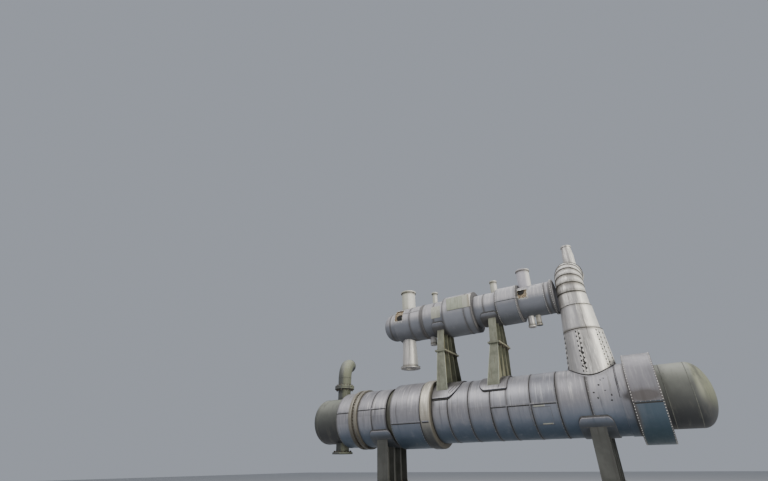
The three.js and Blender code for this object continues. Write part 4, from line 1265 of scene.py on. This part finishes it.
def makeRiserElbow(spec):
    placed = {**spec, "x": along(spec["station"])}
    for key in ("low", "knee"):
        placed[key] = lowerAxis + spec[key]
    piece = bentTube("riserElbowJacket", placed, 48, spec["gores"])
    dented(piece, 0.3, 0.004)
    gore = 90 / spec["gores"]

    def goresUp(point):
        return math.degrees(math.atan2(point[2] - placed["knee"], placed["bend"] - point[1])) / gore

    def goreOf(point):
        return math.floor(goresUp(point))

    def seamDistance(point):
        off = goresUp(point)
        return abs(off - round(off)) * math.radians(gore) * placed["bend"] if off > -0.3 else 1.0

    marked(piece, goreOf, seamDistance, (0.2, 1.0))
    finished(smooth(piece, 10), cladRiser, "cream_cladding", "riser_elbow")
    # dark rings at the gore seams: sealant and painted shadow
    darks = [bendRing(placed, gore * i, -0.002, 0.0125) for i in range(spec["gores"])]
    lights = [bendRing(placed, gore * i + 1.7, 0.0, 0.008) for i in range(spec["gores"])]
    trim("elbowSealantAndShade", darks, sealantAndShade, "cream_cladding", 60)
    beads = joined("elbowBeads", lights)
    markPlain(beads, (0.9, 1.0))
    finished(smooth(beads, 60), cladRiser, "cream_cladding")
    return piece


def makeRiserVent(spec, elbow):
    x, top, low = along(spec["station"]), lowerAxis + spec["top"], lowerAxis + spec["low"]
    rise, inset = spec["chamfer"]
    corners = [(low, spec["foot"]), (low + rise, spec["foot"] - inset), (top - spec["flange"], spec["neck"]),
               (top - spec["flange"], spec["lip"]), (top, spec["lip"]), (top, 0.0)]
    vent = turned("riserVentPipe", corners, (x, spec["y"], 0), "Z", 48)
    openMesh()
    bpy.ops.mesh.bisect(plane_co=(0, 0, low + 0.001), plane_no=(0, 0, 1))
    closeMesh()
    foot = vent.vertex_groups.new(name="foot")
    foot.add([vertex.index for vertex in vent.data.vertices if vertex.co.z < low + 0.0005], 1.0, "REPLACE")
    modified(vent, "SHRINKWRAP", target=elbow, wrap_method="PROJECT", use_project_z=True, offset=-0.02,
             use_negative_direction=True, use_positive_direction=False, vertex_group="foot")
    markPlain(vent, (0.6, 0.9))
    finished(smooth(rounded(vent, 0.004)), cladRiser, "cream_cladding", "riser_vent")


makeRiserJacket(riserCollar)
for spec in riserFeet:
    makeRiserFoot(spec, riserFoot, riserCollar)
makeRiserLaps(riserLaps, riserCollar["laps"])
makeRiserJacket(riserBarrel)
makeRiserVent(riserVent, makeRiserElbow(riserElbow))
# dark rings at the riser's joints: sealant and painted shadow
riserRings = []
for station, rise, radius, width in riserSeams:
    low, high = lowerAxis + rise - width / 2, lowerAxis + rise + width / 2
    corners = [(low, radius - 0.02), (low, radius + 0.003), (high, radius + 0.003), (high, radius - 0.02)]
    riserRings.append(turned("riserRing", closedLoop(corners), (along(station), 0, 0), "Z"))
trim("riserSealant", riserRings, sealantAndShade, "cream_cladding", 50)
print("riser made")

# Nozzles
flangeThick = 0.069
nozzleShape = {"sunk": 0.012, "hub": 0.012, "step": 0.010, "edge": 0.005, "pitch": 0.12}
boltHole = {"radius": 0.019, "depth": 0.3, "out": 0.008}
nozzles = [
    {"name": "inletNozzle", "node": "upper_inlet_nozzle", "station": 2.70, "radius": 0.288,
     "lip": 0.328, "reach": 1.478, "bore": 0.19, "up": 1, "vessel": 0.70, "finish": cladNozzle},
    {"name": "topVent", "node": "upper_top_vent", "station": 3.97, "radius": 0.103,
     "lip": 0.133, "reach": 1.188, "up": 1, "vessel": 0.70, "finish": cladNozzle},
    {"name": "gaugeNozzle", "node": "upper_gauge_nozzle", "station": 6.52, "radius": 0.128,
     "lip": 0.143, "reach": 1.098, "up": 1, "vessel": 0.615, "finish": cladNozzle},
    {"name": "frontNozzle", "node": "upper_front_nozzle", "station": 7.70, "radius": 0.233,
     "lip": 0.256, "reach": 1.263, "bore": 0.17, "up": 1, "vessel": 0.575, "finish": cladLavender},
    {"name": "outletNozzle", "node": "upper_outlet_nozzle", "station": 2.66, "root": 0.268, "radius": 0.323,
     "lip": 0.398, "reach": 1.798, "bore": 0.19, "up": -1, "vessel": 0.70, "finish": cladRiser, "holes": 16},
    {"name": "drainNozzle", "node": "upper_drain_nozzle", "station": 3.775, "radius": 0.128,
     "lip": 0.138, "reach": 1.008, "up": -1, "vessel": 0.70, "finish": cladRiser},
    {"name": "returnNozzle", "node": "upper_return_nozzle", "station": 7.70, "radius": 0.116,
     "lip": 0.138, "reach": 0.948, "up": -1, "vessel": 0.575, "finish": cladRiser},
    {"name": "testNozzle", "node": "upper_test_nozzle", "station": 7.96, "radius": 0.093,
     "lip": 0.110, "reach": 0.923, "up": -1, "vessel": 0.575, "finish": cladCream},
    {"name": "rearTopNozzle", "node": "rear_top_nozzle", "station": -0.69, "radius": 0.268,
     "lip": 0.418, "reach": 1.3295, "bore": 0.20, "up": 1, "vessel": 0.871, "axis": lowerAxis,
     "finish": headPaint},
    {"name": "rearBottomNozzle", "node": "rear_bottom_nozzle", "station": -0.69,
     "radius": 0.268, "lip": 0.418, "reach": 1.2395, "bore": 0.20, "up": -1, "vessel": 0.871,
     "axis": lowerAxis, "finish": headPaint, "holes": 16},
]


def boltAngles(count):
    return [math.tau * (i + 0.5) / count for i in range(count)]


def makeNozzle(spec):
    up, radius, lip, face = (spec[key] for key in ("up", "radius", "lip", "reach"))
    x, axisHeight, inside = along(spec["station"]), spec.get("axis", upperAxis), spec.get("bore", 0.0)
    rootRadius, back = spec.get("root", radius), face - flangeThick
    root = math.sqrt(spec["vessel"] ** 2 - rootRadius ** 2) - nozzleShape["sunk"]
    outside = [(root, rootRadius), (back - nozzleShape["hub"], radius), (back, radius + nozzleShape["step"]),
               (back, lip), (face, lip)]
    corners = closedLoop([(root, inside), *outside, (face, inside)]) if inside else [*outside, (face, 0.0)]
    placed = [(axisHeight + up * run, out) for run, out in corners]
    piece = turned(spec["name"], placed, (x, 0, 0), "Z", 64, nozzleShape["pitch"])
    rounded(piece, nozzleShape["edge"])
    if "holes" in spec:
        pins = []
        out = (radius + lip) / 2 + boltHole["out"]
        for angle in boltAngles(spec["holes"]):
            place = (x + out * math.cos(angle), out * math.sin(angle), axisHeight + up * face)
            deselectAll()
            bpy.ops.mesh.primitive_cylinder_add(vertices=16, radius=boltHole["radius"],
                                                depth=boltHole["depth"], location=place)
            pins.append(settle(bpy.context.object))
        cutWith(piece, joined("holeTool", pins))

    def seamDistance(point):
        return min(abs(abs(point[2] - axisHeight) - face + flangeThick), 1.0)

    marked(piece, nothing, seamDistance, (0.4, 0.8))
    slot = "cladding" if up > 0 and "axis" not in spec else "bare_paint"
    finished(smooth(piece, 35), spec["finish"], slot, spec["node"])


for spec in nozzles:
    makeNozzle(spec)

tailElbow = {"station": -0.69, "turn": 20, "low": 4.5605, "knee": 4.9803, "foot": 0.283, "radius": 0.283,
             "bend": 0.64, "face": 0.698, "wall": 0.078, "flange": 0.418, "bore": 0.205, "hub": 0.11,
             "studs": 16, "circle": 0.345}


def makeTailElbow(spec):
    local = {**spec, "x": 0.0}
    low, foot, flangeRadius, bore = (spec[key] for key in ("low", "foot", "flange", "bore"))
    tube = bentTube("tailElbowPipe", local, 32, 14)
    back, end = low + flangeThick, low + spec["hub"]
    corners = [(low, bore), (low, flangeRadius), (back, flangeRadius), (back, foot + 0.014),
               (end, foot - 0.004), (end, bore)]
    flange = turned("tailFlange", closedLoop(corners), (0, 0, 0), "Z", 64)
    rounded(flange, nozzleShape["edge"])
    piece = joined("tailElbow", [tube, flange])
    beads = joined("tailWelds", [bendRing(local, degrees, 0.0, 0.009) for degrees in (0, 89)])
    for part in (piece, beads):
        part.rotation_euler = (0, 0, math.radians(spec["turn"]))
        part.location = (along(spec["station"]), 0, 0)
        settle(part)
    finished(smooth(piece, 30), headPaint, "bare_paint", "rear_top_elbow")
    finished(smooth(beads, 60), weldSteel, "bare_paint")


makeTailElbow(tailElbow)
flangeStud = makeStud(0.032, 0.018, 0.062)
upwards, downwards = (0, 0, 1), (0, 0, -1)
studSeats = [(tailElbow["low"] + 0.068, upwards), (tailElbow["low"] - 0.069, downwards),
             (lowerAxis - 1.2395 + 0.068, upwards)]
places = []
for angle in boltAngles(tailElbow["studs"]):
    out = Vector((math.cos(angle), math.sin(angle), 0)) * tailElbow["circle"]
    middle = Vector((along(tailElbow["station"]), 0, 0)) + out
    places += [standing(middle + Vector((0, 0, height)), direction) for height, direction in studSeats]
finished(scattered("tailStuds", flangeStud, places), boltSteel, "bare_paint")
print("nozzles made")

# Pedestal and saddle fittings
pedestals = [{"station": 4.31, "shift": 0.025}, {"station": 6.40, "shift": -0.18}]
pedestalShape = {"foot": 3.83, "footHalf": 0.798, "footLength": 0.415, "joint": 5.37, "jointHalf": 0.60,
                 "topLength": 0.28, "plate": 0.03, "bare": 0.047, "edge": 0.016, "boltX": 0.175,
                 "boltRows": (-0.50, -0.32, -0.09, 0.09, 0.32, 0.50)}
saddleBolts = {"stations": (1.70, 9.10), "boltX": 0.258, "boltRows": (-0.62, -0.21, 0.21, 0.62),
               "height": 1.0403}


def boltRows(spec, x, seats):  # two rows of bolts, with each seat's height and the way its bolts point
    return [standing(Vector((x + side * spec["boltX"], y, height)), direction)
            for side in (-1, 1) for y in spec["boltRows"] for height, direction in seats]


def makePedestalFittings(shape, saddles):
    edges, places = [], []
    seats = [(shape["joint"] + shape["plate"], upwards), (shape["joint"] - shape["plate"], downwards)]
    for spec in pedestals:
        x = along(spec["station"])
        for side in (-1, 1):
            footX = x + spec["shift"] + side * shape["footLength"] / 2
            topX = x + side * shape["topLength"] / 2
            here = Vector((footX, -shape["footHalf"], shape["foot"]))
            there = Vector((topX, -shape["jointHalf"], shape["joint"] - shape["plate"]))
            here = here + (there - here) * shape["bare"]
            # a pale strip along each pedestal's front corner: paint wear and a painted highlight
            edges.append(strip("wearAndHighlightEdge", here, there, shape["edge"], shape["edge"], Vector((0, -1, 0))))
        places += boltRows(shape, x, seats)
    for station in saddles["stations"]:
        places += boltRows(saddles, along(station), [(saddles["height"], upwards)])
    finished(joined("pedestalWearAndHighlightEdges", edges), palePaint, "pale_paint")
    finished(scattered("footBolts", flangeStud, places), boltSteel, "pale_paint")


makePedestalFittings(pedestalShape, saddleBolts)
for model in (flangeStud, rivetModel):
    bpy.data.objects.remove(model)
print("fittings made")

# Solids that are carried over
carried = [
    (concrete, ["rear_pier", "front_pier"]), (greyPaint, ["rear_saddle", "front_saddle"]),
    (olivePaint, ["rear_pedestal_stool", "front_pedestal_stool"]),
    (olivePaint, ["rear_pedestal_saddle", "front_pedestal_saddle"]),
]
for finish, names in carried:
    for name in names:
        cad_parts[name].material_slots[0].material = finish

# Floor, light and camera
deselectAll()
bpy.ops.mesh.primitive_plane_add(size=160, location=(0, 0, 0))
floor = settle(named(bpy.context.object, "studioFloor"))
floorFinish = Finish("studioFloorPaint", Metallic=0.0)
floorTone = floorFinish.blend(floorFinish.noise(0.4), (0.50, 0.50, 0.50), (0.54, 0.54, 0.54))
floor.data.materials.append(floorFinish.done(floorTone, 0.8 + floorFinish.noise(3.0) * 0.1))

world = bpy.data.worlds.new("studioSky")
bpy.context.scene.world = world
world.use_nodes = True
sky = world.node_tree.nodes["Background"]
sky.inputs["Color"].default_value = (0.78, 0.84, 0.95, 1)
sky.inputs["Strength"].default_value = 0.42

lamps = [
    {"name": "keyLamp", "place": (-9, -14, 24), "aim": (0, 0, 4), "size": 16, "power": 5200,
     "colour": (1.0, 0.97, 0.93)},
    {"name": "topLamp", "place": (3, 6, 26), "aim": (0, 0, 4), "size": 18, "power": 3800,
     "colour": (1.0, 0.98, 0.96)},
    {"name": "fillLamp", "place": (20, -11, 2.5), "aim": (1, 0, 4), "size": 9, "power": 2400,
     "colour": (1.0, 0.98, 0.94)},
    {"name": "sideLamp", "place": (24, -8, 12), "aim": (3, 0, 5), "size": 9, "power": 2600,
     "colour": (1.0, 0.95, 0.84)},
]
for lamp in lamps:
    deselectAll()
    bpy.ops.object.light_add(type="AREA", location=lamp["place"])
    light = bpy.context.object
    light.name = lamp["name"]
    light.data.size = lamp["size"]
    light.data.energy = lamp["power"]
    light.data.color = lamp["colour"]
    light.rotation_euler = (Vector(lamp["aim"]) - Vector(lamp["place"])).to_track_quat("-Z", "Y").to_euler()

view = {"place": (5.648, -14.785, 1.597), "heading": 32.26, "pitch": 29.07, "roll": -0.77, "lens": 18.905}
heading, pitch, roll = (math.radians(view[key]) for key in ("heading", "pitch", "roll"))
forward = Vector((-math.sin(heading) * math.cos(pitch), math.cos(heading) * math.cos(pitch), math.sin(pitch)))
level = Vector((math.cos(heading), math.sin(heading), 0))
upright = level.cross(forward)
right = level * math.cos(roll) + upright * math.sin(roll)
top = upright * math.cos(roll) - level * math.sin(roll)
deselectAll()
bpy.ops.object.camera_add(location=view["place"])
camera = bpy.context.object
camera.name = "photoCamera"
camera.rotation_euler = Matrix((right, top, -forward)).transposed().to_euler()
camera.data.lens = view["lens"]
camera.data.sensor_width = 36
camera.data.clip_end = 400
bpy.context.scene.camera = camera
print("stage made")
